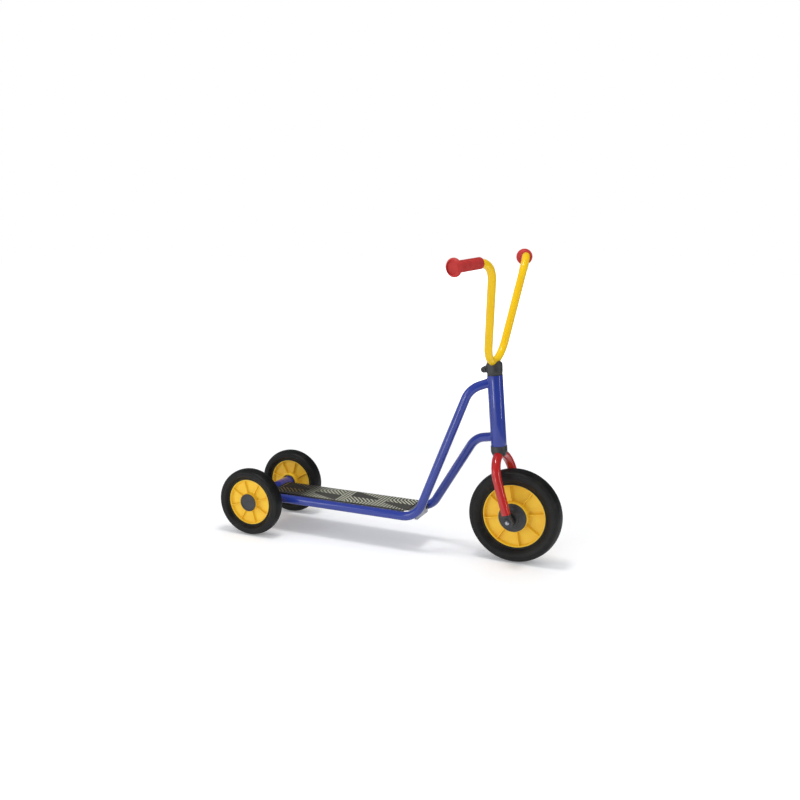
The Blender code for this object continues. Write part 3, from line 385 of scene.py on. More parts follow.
# Painted shade: far back, in the rear wheels' shade, ribs and valleys are painted darker and
# browner, tinted by painted light from the yellow discs
clear_of_wheel_shade = rise(coordinate("X"), -0.290, -0.200)
dusty = rise(cloud(60.0, 5.0), 0.3, 0.75)
front_rib_tone_with_sheen = mixed(dusty * 0.5, colour(194, 195, 173), colour(164, 164, 145))
rib_tone_with_sheen_and_shade = mixed(clear_of_wheel_shade, colour(66, 63, 54), front_rib_tone_with_sheen)
valley_tone_with_shade = mixed(clear_of_wheel_shade, colour(26, 26, 23), colour(66, 65, 60))
shade(
    {
        "Base Color": mixed(rib_top_wear_and_sheen, valley_tone_with_shade, rib_tone_with_sheen_and_shade),
        "Roughness": 0.72 + dusty * 0.10 - rib_top_wear_and_sheen * 0.44,
        "Specular IOR Level": 0.5,
        "Normal": relief(cloud(1300.0, 2.0), 0.00003),
    }
)

# %% [markdown]
# Working by hand
#
# Every new piece starts from a primitive and is shaped in edit mode. The operators act on whatever
# is selected, so a few helpers put everything down, pick one piece up, and choose faces by their
# place. A modifier is applied as soon as it is added, and each piece ends with its object at the
# origin and its place in its mesh.


# %% Picking up and putting down
def put_down():
    """Leaves edit mode, if it is on, with nothing selected."""
    if bpy.context.object and bpy.context.object.mode == "EDIT":
        bpy.ops.object.mode_set(mode="OBJECT")
    bpy.ops.object.select_all(action="DESELECT")


def pick(piece):
    """Only this piece is selected, and it is the one that operators work on."""
    put_down()
    piece.select_set(True)
    bpy.context.view_layer.objects.active = piece


def fresh(name):
    """The primitive that was just added, under its own name."""
    made = bpy.context.object
    made.name = name
    made.data.name = name
    return made


def settle(piece, place_at=None):
    """Moves the piece's place into its mesh, after moving it to place_at if that is given."""
    pick(piece)
    if place_at is not None:
        piece.matrix_world = place_at
    bpy.ops.object.transform_apply(location=True, rotation=True, scale=True)
    return piece


def edit(piece):
    """Edit mode, with vertices as what is picked, whatever was picked before."""
    pick(piece)
    bpy.ops.object.mode_set(mode="EDIT")
    bpy.ops.mesh.select_mode(type="VERT")


def choose(kind, wanted):
    """In edit mode, selects the vertices, edges or faces for which wanted holds."""
    bpy.ops.mesh.select_mode(type=kind)
    bpy.ops.mesh.select_all(action="DESELECT")
    shape = bmesh.from_edit_mesh(bpy.context.object.data)
    items = {"VERT": shape.verts, "EDGE": shape.edges, "FACE": shape.faces}[kind]
    found = [item for item in items if wanted(item)]
    for item in found:
        item.select_set(True)
    shape.select_flush_mode()
    bmesh.update_edit_mesh(bpy.context.object.data)
    return len(found)


def take_all():
    """In edit mode, selects the whole mesh."""
    bpy.ops.mesh.select_all(action="SELECT")


def draw_out(step):
    """In edit mode, extrudes what is selected by this step."""
    bpy.ops.mesh.extrude_region_move(TRANSFORM_OT_translate={"value": step})


def middle(item):
    """The middle of an edge or face."""
    return sum((vert.co for vert in item.verts), Vector()) / len(item.verts)


MERGE = 0.00001  # vertices closer than this many metres are one


def tidy_mesh(piece):
    """Joins doubled vertices, turns all faces outwards and leaves edit mode."""
    edit(piece)
    take_all()
    bpy.ops.mesh.remove_doubles(threshold=MERGE)
    bpy.ops.mesh.normals_make_consistent(inside=False)
    bpy.ops.object.mode_set(mode="OBJECT")
    return piece


def modify(piece, kind, **choices):
    """Adds a modifier with these choices and applies it."""
    pick(piece)
    modifier = piece.modifiers.new(kind.title(), kind)
    for name, value in choices.items():
        setattr(modifier, name, value)
    bpy.ops.object.modifier_apply(modifier=modifier.name)
    return piece


def combine(piece, other, operation):
    """Unites the piece with the other, or cuts the other away from it. The other is used up."""
    modify(piece, "BOOLEAN", operation=operation, solver="EXACT", object=other)
    bpy.data.objects.remove(other)
    return piece


def soften(piece, width, segments=3, angle=35):
    """Rounds every edge that is sharper than the angle."""
    limit = math.radians(angle)
    return modify(piece, "BEVEL", width=width, segments=segments, angle_limit=limit)


def copy_of(piece, name):
    """A copy with its own mesh."""
    pick(piece)
    bpy.ops.object.duplicate(linked=False)
    return fresh(name)


def joined(pieces, name):
    pick(pieces[0])
    for piece in pieces:
        piece.select_set(True)
    bpy.ops.object.join()
    return fresh(name)


def hand_over(piece, body, finish, nodes, angle=38):
    """The piece gets its finish, moves with the body and stands for these solids."""
    pick(piece)
    bpy.ops.object.shade_smooth_by_angle(angle=math.radians(angle))
    piece.data.materials.clear()
    piece.data.materials.append(FINISHES[finish])
    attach(piece, body)
    if nodes:
        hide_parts(*nodes)
    print(f"{piece.name}: {len(piece.data.polygons)} faces, rides on {body}")
    return piece


# %% Places that many pieces share, in metres
SIDES = (("right", -1), ("left", 1))  # each with the sign of its Y
GAP = 0.0003  # between pieces that fit into each other
HAIR = 0.0001  # between pieces that lie on each other, and for picking by place
FRONT_X = 0.37165
REAR_X = -0.40165
RAIL_Z = 0.099
RAIL_Y = 0.0545
HEAD_LEAN = math.radians(4.62)
STEER_SETBACK = 0.0254
UP_AXIS = Vector((-math.sin(HEAD_LEAN), 0, math.cos(HEAD_LEAN)))


def axis_point(above_floor):
    """The point of the steering axis at this height."""
    return Vector((FRONT_X - STEER_SETBACK - above_floor * math.tan(HEAD_LEAN), 0, above_floor))


def frame_of(origin, x_axis, z_axis):
    """The frame at origin with these two axes."""
    made = Matrix((x_axis, z_axis.cross(x_axis), z_axis)).transposed().to_4x4()
    made.translation = origin
    return made


def axis_frame(origin, direction):
    """A frame at origin with Z along direction, and X as near to world X as that allows."""
    z_axis = Vector(direction).normalized()
    x_axis = Vector((1, 0, 0)) - z_axis * z_axis.x
    if x_axis.length < 0.1:
        x_axis = Vector((0, 1, 0)) - z_axis * z_axis.y
    return frame_of(origin, x_axis.normalized(), z_axis)


def side_frames(centre, out):
    """The frames so far out to the right and left of a centre, with Z pointing away from it."""
    return {
        side: axis_frame(centre + Vector((0, sign * out, 0)), (0, sign, 0)) for side, sign in SIDES
    }


HEAD_LENGTH = 0.1968
HEAD_RADIUS = 0.021
HEAD_FOOT = axis_point(0.3142)
HEAD_TOP = HEAD_FOOT + UP_AXIS * HEAD_LENGTH
CROWN = axis_point(0.298)
HEAD_FRAME = axis_frame(HEAD_FOOT, UP_AXIS)
FRONT_AXLE = Vector((FRONT_X, 0, 0.129))
REAR_AXLE = Vector((REAR_X, 0, 0.099))
print("the head tube runs from", HEAD_FOOT[:], "to", HEAD_TOP[:])

# %% [markdown]
# Turned pieces
#
# Caps, sleeves, tyres and discs are bodies of revolution. On a lathe one profile makes the whole
# shape, and Blender's spin does the same: a plane is merged to one point, the point is extruded
# along the profile, and the line is spun round Z.


# %% A line of points, and the lathe
def drawn(name, points):
    """Starts a piece as a line through the points. It stays in edit mode."""
    put_down()
    bpy.ops.mesh.primitive_plane_add(size=0.01, location=(0, 0, 0))
    piece = fresh(name)
    edit(piece)
    bpy.ops.mesh.merge(type="CENTER")
    here = Vector(points[0])
    bpy.ops.transform.translate(value=here)
    for point in points[1:]:
        step = Vector(point) - here
        bpy.ops.mesh.extrude_vertices_move(TRANSFORM_OT_translate={"value": step})
        here = Vector(point)
    return piece


def turned(name, profile, steps=64, closed=True, rounding=0.0, where=None):
    """Turns a profile of (radius, height) round Z, rounds its edges and puts it in its place."""
    points = [(radius, 0, height) for radius, height in profile]
    if closed:
        points.append(points[0])
    piece = drawn(name, points)
    take_all()
    bpy.ops.mesh.spin(steps=steps, angle=math.tau, center=(0, 0, 0), axis=(0, 0, 1))
    tidy_mesh(piece)
    if rounding:
        soften(piece, rounding)
    return settle(piece, where)


# %% [markdown]
# Bent tubes
#
# The frame, the fork and the handlebar are steel tubes from a bending machine: straight runs with
# round arcs between them. A ring is pushed along each straight run and spun about the middle of
# each bend, which keeps the tube perfectly round. A curve with a bevel would be quicker to set up,
# but its rings crowd together at the bends.


# %% The tube bender
def bent_tube(name, corners, radii, radius, sides=40, bend_steps=18):
    """A closed round bar through the corners, with an arc of its own radius at each inner one."""
    corners = [Vector(corner) for corner in corners]
    ahead = (corners[1] - corners[0]).normalized()
    turn = ahead.to_track_quat("Z", "Y").to_euler()
    put_down()
    bpy.ops.mesh.primitive_circle_add(
        vertices=sides, radius=radius, fill_type="NOTHING", location=corners[0], rotation=turn
    )
    piece = settle(fresh(name))
    edit(piece)
    take_all()
    here = corners[0]
    for before, corner, after, bend in zip(corners, corners[1:], corners[2:], radii):
        back = (before - corner).normalized()
        onward = (after - corner).normalized()
        angle = math.pi - back.angle(onward)
        reach = bend * math.tan(angle / 2)
        push = corner + back * reach - here
        draw_out(push)
        centre = corner + (back + onward).normalized() * bend / math.cos(angle / 2)
        hinge = onward.cross(-back)
        bpy.ops.mesh.spin(steps=bend_steps, angle=angle, center=centre, axis=hinge.normalized())
        here = corner + onward * reach
    draw_out(corners[-1] - here)
    take_all()
    bpy.ops.mesh.fill_holes(sides=0)
    return tidy_mesh(piece)


def round_bar(name, where, radius, low, high, sides=64):
    """A plain round bar along the Z of a frame, as a cutter or as a start. where may be None."""
    put_down()
    bpy.ops.mesh.primitive_cylinder_add(
        vertices=sides, radius=radius, depth=high - low, location=(0, 0, (low + high) / 2)
    )
    return settle(settle(fresh(name)), where)


def slab(name, low, high):
    """A block between two corners."""
    put_down()
    low, high = Vector(low), Vector(high)
    bpy.ops.mesh.primitive_cube_add(size=1, location=(low + high) / 2)
    block = fresh(name)
    block.scale = high - low
    return settle(block)


# %% [markdown]
# The blue frame
#
# The head tube is a short, thick sleeve. Two bent tubes leave it, one near its top and one near
# its foot, run down side by side under the deck, and end on the wide cross tube of the rear axle.
# Each end is cut to the curve of the tube that it meets, as a welder files it, so a Boolean cuts
# it with a bar of that tube's size.

# %% The head tube and the rear axle tube
TUBE_RADIUS = 0.0125
AXLE_TUBE_RADIUS = 0.0205
AXLE_TUBE_HALF = 0.0952
HEAD_BORE = 0.018
AXLE_TUBE_BORE = 0.018
WELD_DEPTH = 0.0005


def sleeve(radius, bore, low, high):
    """The section of a plain sleeve."""
    return [(radius, low), (bore, low), (bore, high), (radius, high)]


head_side = sleeve(HEAD_RADIUS, HEAD_BORE, 0, HEAD_LENGTH)
head_tube = turned("head_tube_painted", head_side, rounding=0.0006, where=HEAD_FRAME)
hand_over(head_tube, "frame", "blue_enamel", ["head_tube"])

axle_side = sleeve(AXLE_TUBE_RADIUS, AXLE_TUBE_BORE, -AXLE_TUBE_HALF, AXLE_TUBE_HALF)
along_axle = axis_frame(REAR_AXLE, (0, 1, 0))
axle_tube = turned("rear_axle_tube_painted", axle_side, rounding=0.0004, where=along_axle)
hand_over(axle_tube, "frame", "blue_enamel", ["rear_axle_tube"])

# %% The two long frame tubes
UPPER_JOINT = axis_point(HEAD_TOP.z - 0.0154)
LOWER_JOINT = axis_point(HEAD_FOOT.z + 0.0295)
NECK_Y = 0.020
DECK_BEND_X = REAR_X + 0.5035
DECK_BEND_RADIUS = 0.061


def frame_tube(side, sign, joint, setback, drop, bend):
    """One long tube from the head tube to the rear axle tube. Returns its first direction."""
    corners = [
        joint,
        Vector((FRONT_X - setback, sign * NECK_Y, joint.z - drop)),
        Vector((DECK_BEND_X, sign * RAIL_Y, RAIL_Z)),
        Vector((REAR_X, sign * RAIL_Y, RAIL_Z)),
    ]
    piece = bent_tube(side + "_frame_tube_painted", corners, [bend, DECK_BEND_RADIUS], TUBE_RADIUS)
    for where, host_radius, low, high in (
        (HEAD_FRAME, HEAD_RADIUS, -0.05, HEAD_LENGTH + 0.05),
        (along_axle, AXLE_TUBE_RADIUS, -0.09, 0.09),
    ):
        cutter = round_bar("joint_cut", where, host_radius - WELD_DEPTH, low, high)
        combine(piece, cutter, "DIFFERENCE")
    hand_over(piece, "frame", "blue_enamel", [side + "_frame_tube"])
    return (corners[1] - corners[0]).normalized()


upper_way = frame_tube("right", -1, UPPER_JOINT, 0.1306, 0.0242, 0.064)
lower_way = frame_tube("left", 1, LOWER_JOINT, 0.1247, 0.0158, 0.069)

# %% [markdown]
# Weld beads
#
# Paint doesn't hide a weld: a rounded, slightly rippled bead runs round each joint and gives the
# tube's end a collar. Each bead starts as a torus round the tube. Ring by ring it is slid along
# the tube until it lies on the other tube's surface, and every second ring is drawn in a little,
# which leaves the ripples of the welder's hand.

# %% A bead that follows the joint of two tubes
BEAD_RINGS = 84
BEAD_SIDES = 8
BEAD_RADIUS = 0.0016
RIPPLE = 0.86


def weld_bead(name, start, way, host_axis, host_radius):
    """A bead round a tube that leaves start along way, on a host tube whose axis holds start."""
    put_down()
    bpy.ops.mesh.primitive_torus_add(
        major_radius=TUBE_RADIUS,
        minor_radius=BEAD_RADIUS,
        major_segments=BEAD_RINGS,
        minor_segments=BEAD_SIDES,
    )
    piece = settle(fresh(name), axis_frame(start, way))
    rings = [piece.data.vertices[i * BEAD_SIDES:(i + 1) * BEAD_SIDES] for i in range(BEAD_RINGS)]
    centres = [sum((vert.co for vert in ring), Vector()) / BEAD_SIDES for ring in rings]
    level = way - host_axis * way.dot(host_axis)
    edit(piece)
    for index, centre in enumerate(centres):
        # How far along the tube a line through this ring's middle meets the host's surface
        arm = centre - start
        arm -= host_axis * arm.dot(host_axis)
        half = arm.dot(level) / level.length_squared
        slide = math.sqrt(half**2 - (arm.length_squared - host_radius**2) / level.length_squared)
        slide -= half
        first = index * BEAD_SIDES
        bpy.ops.mesh.select_all(action="DESELECT")
        shape = bmesh.from_edit_mesh(piece.data)
        shape.verts.ensure_lookup_table()
        for vert in shape.verts[first:first + BEAD_SIDES]:
            vert.select_set(True)
        shape.select_flush_mode()
        bpy.ops.transform.translate(value=way * slide)
        if index % 2:
            bpy.ops.transform.resize(value=[RIPPLE] * 3, center_override=centre + way * slide)
    tidy_mesh(piece)
    hand_over(piece, "frame", "blue_enamel", [], angle=60)


weld_bead("upper_neck_weld", UPPER_JOINT, upper_way, UP_AXIS, HEAD_RADIUS)
weld_bead("lower_neck_weld", LOWER_JOINT, lower_way, UP_AXIS, HEAD_RADIUS)
for side, sign in SIDES:
    start = REAR_AXLE + Vector((0, sign * RAIL_Y, 0))
    weld_bead(side + "_axle_weld", start, Vector((1, 0, 0)), Vector((0, 1, 0)), AXLE_TUBE_RADIUS)

# %% [markdown]
# The deck plate
#
# The deck is one piece of sheet steel on the two rails. In front it narrows to a tongue between
# the rails, which folds down to be screwed to a cross bar. It is laid out flat as a plane, cut at
# the tongue's width, drawn forward, folded with a spin about the fold's middle, and only then
# given the thickness of the sheet.

# %% Deck plate
DECK_HALF_WIDTH = 0.051
SKIRT = 0.0006
DECK_REAR = REAR_X + AXLE_TUBE_RADIUS + 0.0035
MAT_FRONT = 0.06185
TONGUE_HALF_WIDTH = 0.0405
TONGUE_FRONT = DECK_BEND_X - 0.00425
PLATE_TOP = 0.1133
PLATE_THICKNESS = 0.0015
FOLD_RADIUS = 0.00475
TONGUE_DROP = 0.0215


def sheet(name, rear, front, half_width, up):
    """A flat sheet over the middle line, at this height, in edit mode."""
    put_down()
    bpy.ops.mesh.primitive_plane_add(size=1, location=((front + rear) / 2, 0, up))
    made = fresh(name)
    made.scale = (front - rear, 2 * half_width, 1)
    edit(settle(made))
    return made


plate_half = DECK_HALF_WIDTH - SKIRT - HAIR
plate = sheet("deck_plate_sheet", DECK_REAR, MAT_FRONT, plate_half, PLATE_TOP)
for cut in (-TONGUE_HALF_WIDTH, TONGUE_HALF_WIDTH):
    take_all()
    bpy.ops.mesh.bisect(plane_co=(0, cut, 0), plane_no=(0, 1, 0))
choose("EDGE", lambda edge: abs(middle(edge).y) < 0.001 and middle(edge).x > MAT_FRONT - 0.001)
ahead = TONGUE_FRONT - FOLD_RADIUS - MAT_FRONT
draw_out((ahead, 0, 0))
fold_middle = (TONGUE_FRONT - FOLD_RADIUS, 0, PLATE_TOP - FOLD_RADIUS)
bpy.ops.mesh.spin(steps=8, angle=math.pi / 2, center=fold_middle, axis=(0, -1, 0))
draw_out((0, 0, -TONGUE_DROP))
tidy_mesh(plate)
lowest = min(vert.co.z for vert in plate.data.vertices)
if plate.data.polygons[0].normal.z < 0:
    edit(plate)
    take_all()
    bpy.ops.mesh.flip_normals()
modify(plate, "SOLIDIFY", thickness=PLATE_THICKNESS, offset=-1, use_even_offset=True)
soften(plate, 0.00035, segments=2, angle=50)
hand_over(plate, "frame", "zinc_steel", ["deck_plate"])
print("the tongue's lower edge is", round(lowest, 4), "above the floor")

# %% [markdown]
# The bars under the deck
#
# Two flat bars run across under the sheet: one stands behind the tongue, the other lies under the
# deck's back. Flat bar is rolled, so its corners are slightly round, and its ends are notched
# where they meet the round rails.

# %% Flat bars under the deck
BAR_ROUNDING = 0.0005


def flat_bar(name, low, high, node):
    """A flat bar between two corners, notched where the rails pass."""
    bar = slab(name, low, high)
    edit(bar)
    take_all()
    bpy.ops.mesh.bevel(offset=BAR_ROUNDING, segments=2, affect="EDGES")
    for sign in (-1, 1):
        rail = axis_frame((0, sign * RAIL_Y, RAIL_Z), (1, 0, 0))
        combine(bar, round_bar("rail_cut", rail, TUBE_RADIUS + HAIR, -0.6, 0.6), "DIFFERENCE")
    hand_over(bar, "frame", "zinc_steel", [node])


flat_bar("front_cross_bar", *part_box("front_cross_plate"), "front_cross_plate")
strap_low, strap_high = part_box("rear_deck_strap")
flat_bar("rear_strap_bar", strap_low, strap_high, "rear_deck_strap")

# %% [markdown]
# Deck screws
#
# Round-headed screws with a cross recess. The head is turned with a domed profile, and the recess
# is cut by two crossed bars, which is how the tool's imprint looks from outside.

# %% Deck screws
HEAD_HALF = 0.0045
HEAD_HEIGHT = 0.0025
DOME = 0.0016
SHANK_HALF = 0.0019
SHANK_LENGTH = 0.0055
BLADE = (0.0044, 0.0009, 0.0022)
TAPER = (0.55, 0.55, 1)
SCREW_Y = 0.030
TONGUE_SCREW_Z = RAIL_Z + 0.005


def cross_recess():
    """The two crossed blades, narrower below, that cut the recess of a screw."""
    blades = []
    top = (0, 0, HEAD_HEIGHT)
    for turn in (0, math.pi / 2):
        put_down()
        bpy.ops.mesh.primitive_cube_add(size=1, location=top, rotation=(0, 0, turn))
        blade = fresh("recess_blade")
        blade.scale = BLADE
        settle(blade)
        edit(blade)
        choose("FACE", lambda face: middle(face).z < HEAD_HEIGHT - 0.001)
        bpy.ops.transform.resize(value=TAPER, center_override=top)
        blades.append(blade)
    return combine(blades[0], blades[1], "UNION")


screw_side = []
for step in range(10):
    angle = math.radians(10 * step)
    up = HEAD_HEIGHT - DOME * (1 - math.cos(angle))
    screw_side.append((HEAD_HALF * math.sin(angle), up))
screw_side += [(HEAD_HALF, 0), (SHANK_HALF, 0), (SHANK_HALF, -SHANK_LENGTH), (0, -SHANK_LENGTH)]
screw = turned("deck_screw", screw_side, steps=32, closed=False)
combine(screw, cross_recess(), "DIFFERENCE")
tongue_face = TONGUE_FRONT + HAIR
strap_face = strap_low.z - HAIR
strap_x = (strap_low.x + strap_high.x) / 2
for side, sign in SIDES:
    y = sign * SCREW_Y
    for where, spot, out in (
        ("front", (tongue_face, y, TONGUE_SCREW_Z), (1, 0, 0)),
        ("rear", (strap_x, y, strap_face), (0, 0, -1)),
    ):
        piece = copy_of(screw, f"{where}_deck_screw_{side}_cross")
        settle(piece, axis_frame(spot, out))
        hand_over(piece, "frame", "black_plastic", [f"{where}_deck_screw_{side}"])
bpy.data.objects.remove(screw)

# %% [markdown]
# The deck mat
#
# The mat is rubber with a tread of raised ribs. Columns of three ribs run straight across. Between
# them lie panels with a V: outside it the ribs run across, inside it one half has slanted ribs and
# the other half is plain. Every second panel is turned half round. A photograph printed on a plane
# would give the pattern without its relief. Here the sheet is cut along the edges of all ribs with
# bisect, one region at a time, and the ribs' faces are drawn up with two insets, so that ribs of
# two directions join in a clean mitre. Along the rails a thin skirt hangs from the sheet's edge.

# %% The mat's outline and its layout
MAT_BOTTOM = 0.1136
SKIRT_FOOT = 0.1111
RIB_SLOPE = {"thickness": 0.0004, "depth": 0.0006}
RIB_EDGE = {"thickness": 0.0002, "depth": 0.0002}
RUBBER_FRONT = MAT_FRONT + 0.009
VALLEY = 0.0008
PITCH = 0.00961
RIB_WIDTH = 0.0048
BORDER = 0.0012
FRONT_BORDER = 0.0025
REAR_CORNER = 0.004
FRONT_CORNER = 0.010
COLUMN_RIBS = 3
PANEL_RIBS = 9
SECOND_COLUMN = -0.0305
COLUMN_X = [SECOND_COLUMN - PITCH * (COLUMN_RIBS + PANEL_RIBS) * step for step in range(-1, 4)]
V_NARROW = 0.0138
V_SLOPE = math.tan(math.radians(22.5))

mat = sheet("deck_mat_ribbed", DECK_REAR, RUBBER_FRONT, DECK_HALF_WIDTH, MAT_TOP - VALLEY)
choose("VERT", lambda vert: vert.co.x < 0)
bpy.ops.mesh.bevel(offset=REAR_CORNER, segments=6, affect="VERTICES")
choose("VERT", lambda vert: vert.co.x > 0)
bpy.ops.mesh.bevel(offset=FRONT_CORNER, segments=10, affect="VERTICES")
take_all()
bpy.ops.mesh.inset(thickness=BORDER, depth=0)
inner_x = (DECK_REAR + BORDER, RUBBER_FRONT - FRONT_BORDER)


def on_field(face):
    """Whether a face of the mat lies inside its plain border."""
    spot = middle(face)
    return abs(spot.y) < DECK_HALF_WIDTH - BORDER and inner_x[0] < spot.x < inner_x[1]


class Panel:
    """One panel between two columns, with its V. turned is -1 where it is turned half round."""

    def __init__(self, low, turned):
        self.low = low
        self.high = low + PANEL_RIBS * PITCH
        self.turned = turned

    def narrow_x(self):
        return self.low if self.turned > 0 else self.high

    def half_width(self, x):
        """How far the V reaches from the middle line at this x."""
        return V_NARROW + V_SLOPE * abs(x - self.narrow_x())

    def holds(self, spot):
        return self.low < spot.x < self.high

    def inside(self, spot):
        return self.holds(spot) and abs(spot.y) < self.half_width(spot.x)

    def slanted(self, spot):
        return self.inside(spot) and spot.y * self.turned > 0

    def slant(self, x):
        """How far along the diagonal the slanted rib lies that meets the V's edge at this x."""
        reach = V_NARROW + V_SLOPE * (x - self.narrow_x()) * self.turned
        return (x + self.turned * reach) / math.sqrt(2)


PANELS = [
    Panel(column + COLUMN_RIBS / 2 * PITCH, 1 if index % 2 else -1)
    for index, column in enumerate(COLUMN_X)
    if index
]
print("the mat has", len(PANELS), "panels")


# %% Cutting the sheet along every rib
def slice_faces(wanted, point, across):
    """Cuts the chosen faces of the mat with a plane through the point."""
    if choose("FACE", wanted):
        bpy.ops.mesh.bisect(plane_co=point, plane_no=across)


slice_faces(on_field, (inner_x[1], 0, 0), (1, 0, 0))
for panel in PANELS:
    for edge_x in (panel.low, panel.high):
        slice_faces(on_field, (edge_x, 0, 0), (1, 0, 0))
    in_panel = lambda face: on_field(face) and panel.holds(middle(face))
    slice_faces(in_panel, (0, 0, 0), (0, 1, 0))
    for sign in (-1, 1):
        corner = (panel.narrow_x(), sign * V_NARROW, 0)
        slice_faces(in_panel, corner, (-sign * V_SLOPE * panel.turned, 1, 0))


def outside_v(face):
    """Whether ribs run straight across here."""
    return on_field(face) and not any(panel.inside(middle(face)) for panel in PANELS)


def spans(face, x):
    """Whether a face lies on both sides of this x."""
    along = [corner.co.x for corner in face.verts]
    return min(along) < x - MERGE and max(along) > x + MERGE


RIB_X = [COLUMN_X[0] - PITCH * index for index in range(60)]
RIB_X = [x for x in RIB_X if DECK_REAR < x < RUBBER_FRONT]
for x in RIB_X:
    for edge_x in (x - RIB_WIDTH / 2, x + RIB_WIDTH / 2):
        to_cut = lambda face: outside_v(face) and spans(face, edge_x)
        slice_faces(to_cut, (edge_x, 0, 0), (1, 0, 0))
for panel in PANELS:
    in_slant = lambda face: on_field(face) and panel.slanted(middle(face))
    for index in range(-8, 20):
        x = panel.low + PITCH * (0.5 + index)
        for edge in (-RIB_WIDTH / 2, RIB_WIDTH / 2):
            along = panel.slant(x) + edge
            point = (along / math.sqrt(2), along / math.sqrt(2), 0)
            slice_faces(in_slant, point, (1, 1, 0))
take_all()
bpy.ops.mesh.remove_doubles(threshold=MERGE)


# %% Raising the ribs
def on_rib(face):
    """Whether a face is the top of a rib, straight or slanted."""
    if not on_field(face):
        return False
    spot = middle(face)
    if outside_v(face):
        return any(abs(spot.x - x) < RIB_WIDTH / 2 for x in RIB_X)
    for panel in PANELS:
        if panel.slanted(spot):
            along = (spot.x + spot.y) / math.sqrt(2)
            first = panel.slant(panel.low + PITCH / 2)
            offset = (along - first + PITCH / 2) % PITCH - PITCH / 2
            return abs(offset) < RIB_WIDTH / 2
    return False


ribs = choose("FACE", on_rib)
for step in (RIB_SLOPE, RIB_EDGE):
    bpy.ops.mesh.inset(**step, use_even_offset=False)
choose("EDGE", lambda edge: edge.is_boundary)
draw_out((0, 0, MAT_BOTTOM - MAT_TOP + VALLEY))
bpy.ops.mesh.edge_face_add()
bpy.ops.mesh.inset(thickness=SKIRT, depth=0, use_even_offset=False)


def by_long_side(face):
    """Whether a face of the mat's underside lies along a rail."""
    spot = middle(face)
    on_foot = spot.z < MAT_BOTTOM + HAIR and abs(face.normal.z) > 0.9
    return on_foot and abs(spot.y) > DECK_HALF_WIDTH - SKIRT and spot.x < MAT_FRONT


choose("FACE", by_long_side)
draw_out((0, 0, SKIRT_FOOT - MAT_BOTTOM))
tidy_mesh(mat)
hand_over(mat, "frame", "mat_rubber", ["deck_mat"], angle=60)
print(ribs, "faces were raised to ribs")

# %% [markdown]
# The wheel discs
#
# Each wheel turns on a moulded plastic disc: an outer lip that carries the tyre, a thin web, a hub
# sleeve with a stepped bore, and eight ribs on each face. The disc is turned on the lathe. One rib
# is drawn as a section with a flared foot, as a mould needs, and drawn out from hub to lip. Eight
# copies of it are turned round the axle, and one union makes a single moulding of them all.

# %% Sizes of the two kinds of wheel
REAR_WHEEL = dict(
    radius=0.099, half_width=0.022, disc=0.0674, lip_reach=0.0104, bush=0.011, hub=0.0265,
    hub_bore=0.0235, hub_in=0.0235, hub_out=0.016, floor_in=0.016, floor_out=0.003,
    rib_turn=math.radians(15.4),
)
FRONT_WHEEL = dict(
    radius=0.129, half_width=0.027, disc=0.088, lip_reach=0.0136, bush=0.0135, hub=0.041,
    hub_bore=0.0375, hub_in=0.026, hub_out=0.026, floor_in=0.009, floor_out=0.009,
    rib_turn=math.radians(10.7),
)
WEB = 0.0016
LIP_THICKNESS = 0.0035
DRAFT = 0.0005
FILLET = 0.0016
RIB_COUNT = 8
RIB_HALF = 0.0016
RIB_TIP = 0.0013
RIB_FOOT = 0.0026
RIB_RECESS = 0.0015
RIB_ROOT = 0.0003
RIB_OVERLAP = 0.0008
REAR_WHEEL_Y = 0.1173
print("the discs are", REAR_WHEEL["disc"] * 2, "and", FRONT_WHEEL["disc"] * 2, "metres across")


# %% One rib, then eight
def rib_section(reach):
    """A rib cut across: flared feet on both faces of the web, drafted sides and round tops."""
    quarter = []
    for step in range(5):
        angle = step * math.pi / 8
        out = RIB_HALF + RIB_FOOT * (1 - math.sin(angle))
        quarter.append((out, WEB - RIB_ROOT + RIB_FOOT * (1 - math.cos(angle))))
    for step in range(4):
        angle = step * math.pi / 6
        out = RIB_TIP * math.cos(angle)
        quarter.append((out, reach - RIB_TIP * (1 - math.sin(angle))))
    upper = quarter + [(-out, up) for out, up in reversed(quarter[:-1])]
    return upper + [(-out, -up) for out, up in upper]


def all_ribs(wheel):
    """The eight ribs of a wheel, as one mesh in the wheel's own frame."""
    start = wheel["hub"] - RIB_OVERLAP
    length = wheel["disc"] - LIP_THICKNESS + RIB_OVERLAP - start
    section = [(out, start, up) for out, up in rib_section(wheel["lip_reach"] - RIB_RECESS)]
    rib = drawn("rib", section + section[:1])
    take_all()
    bpy.ops.mesh.remove_doubles(threshold=MERGE)
    bpy.ops.mesh.edge_face_add()
    draw_out((0, length, 0))
    tidy_mesh(rib)
    ribs = []
    for index in range(RIB_COUNT):
        turn = wheel["rib_turn"] + index * math.tau / RIB_COUNT - math.pi / 2
        ribs.append(settle(copy_of(rib, "rib_copy"), Matrix.Rotation(turn, 4, "Z")))
    bpy.data.objects.remove(rib)
    return joined(ribs, "ribs")


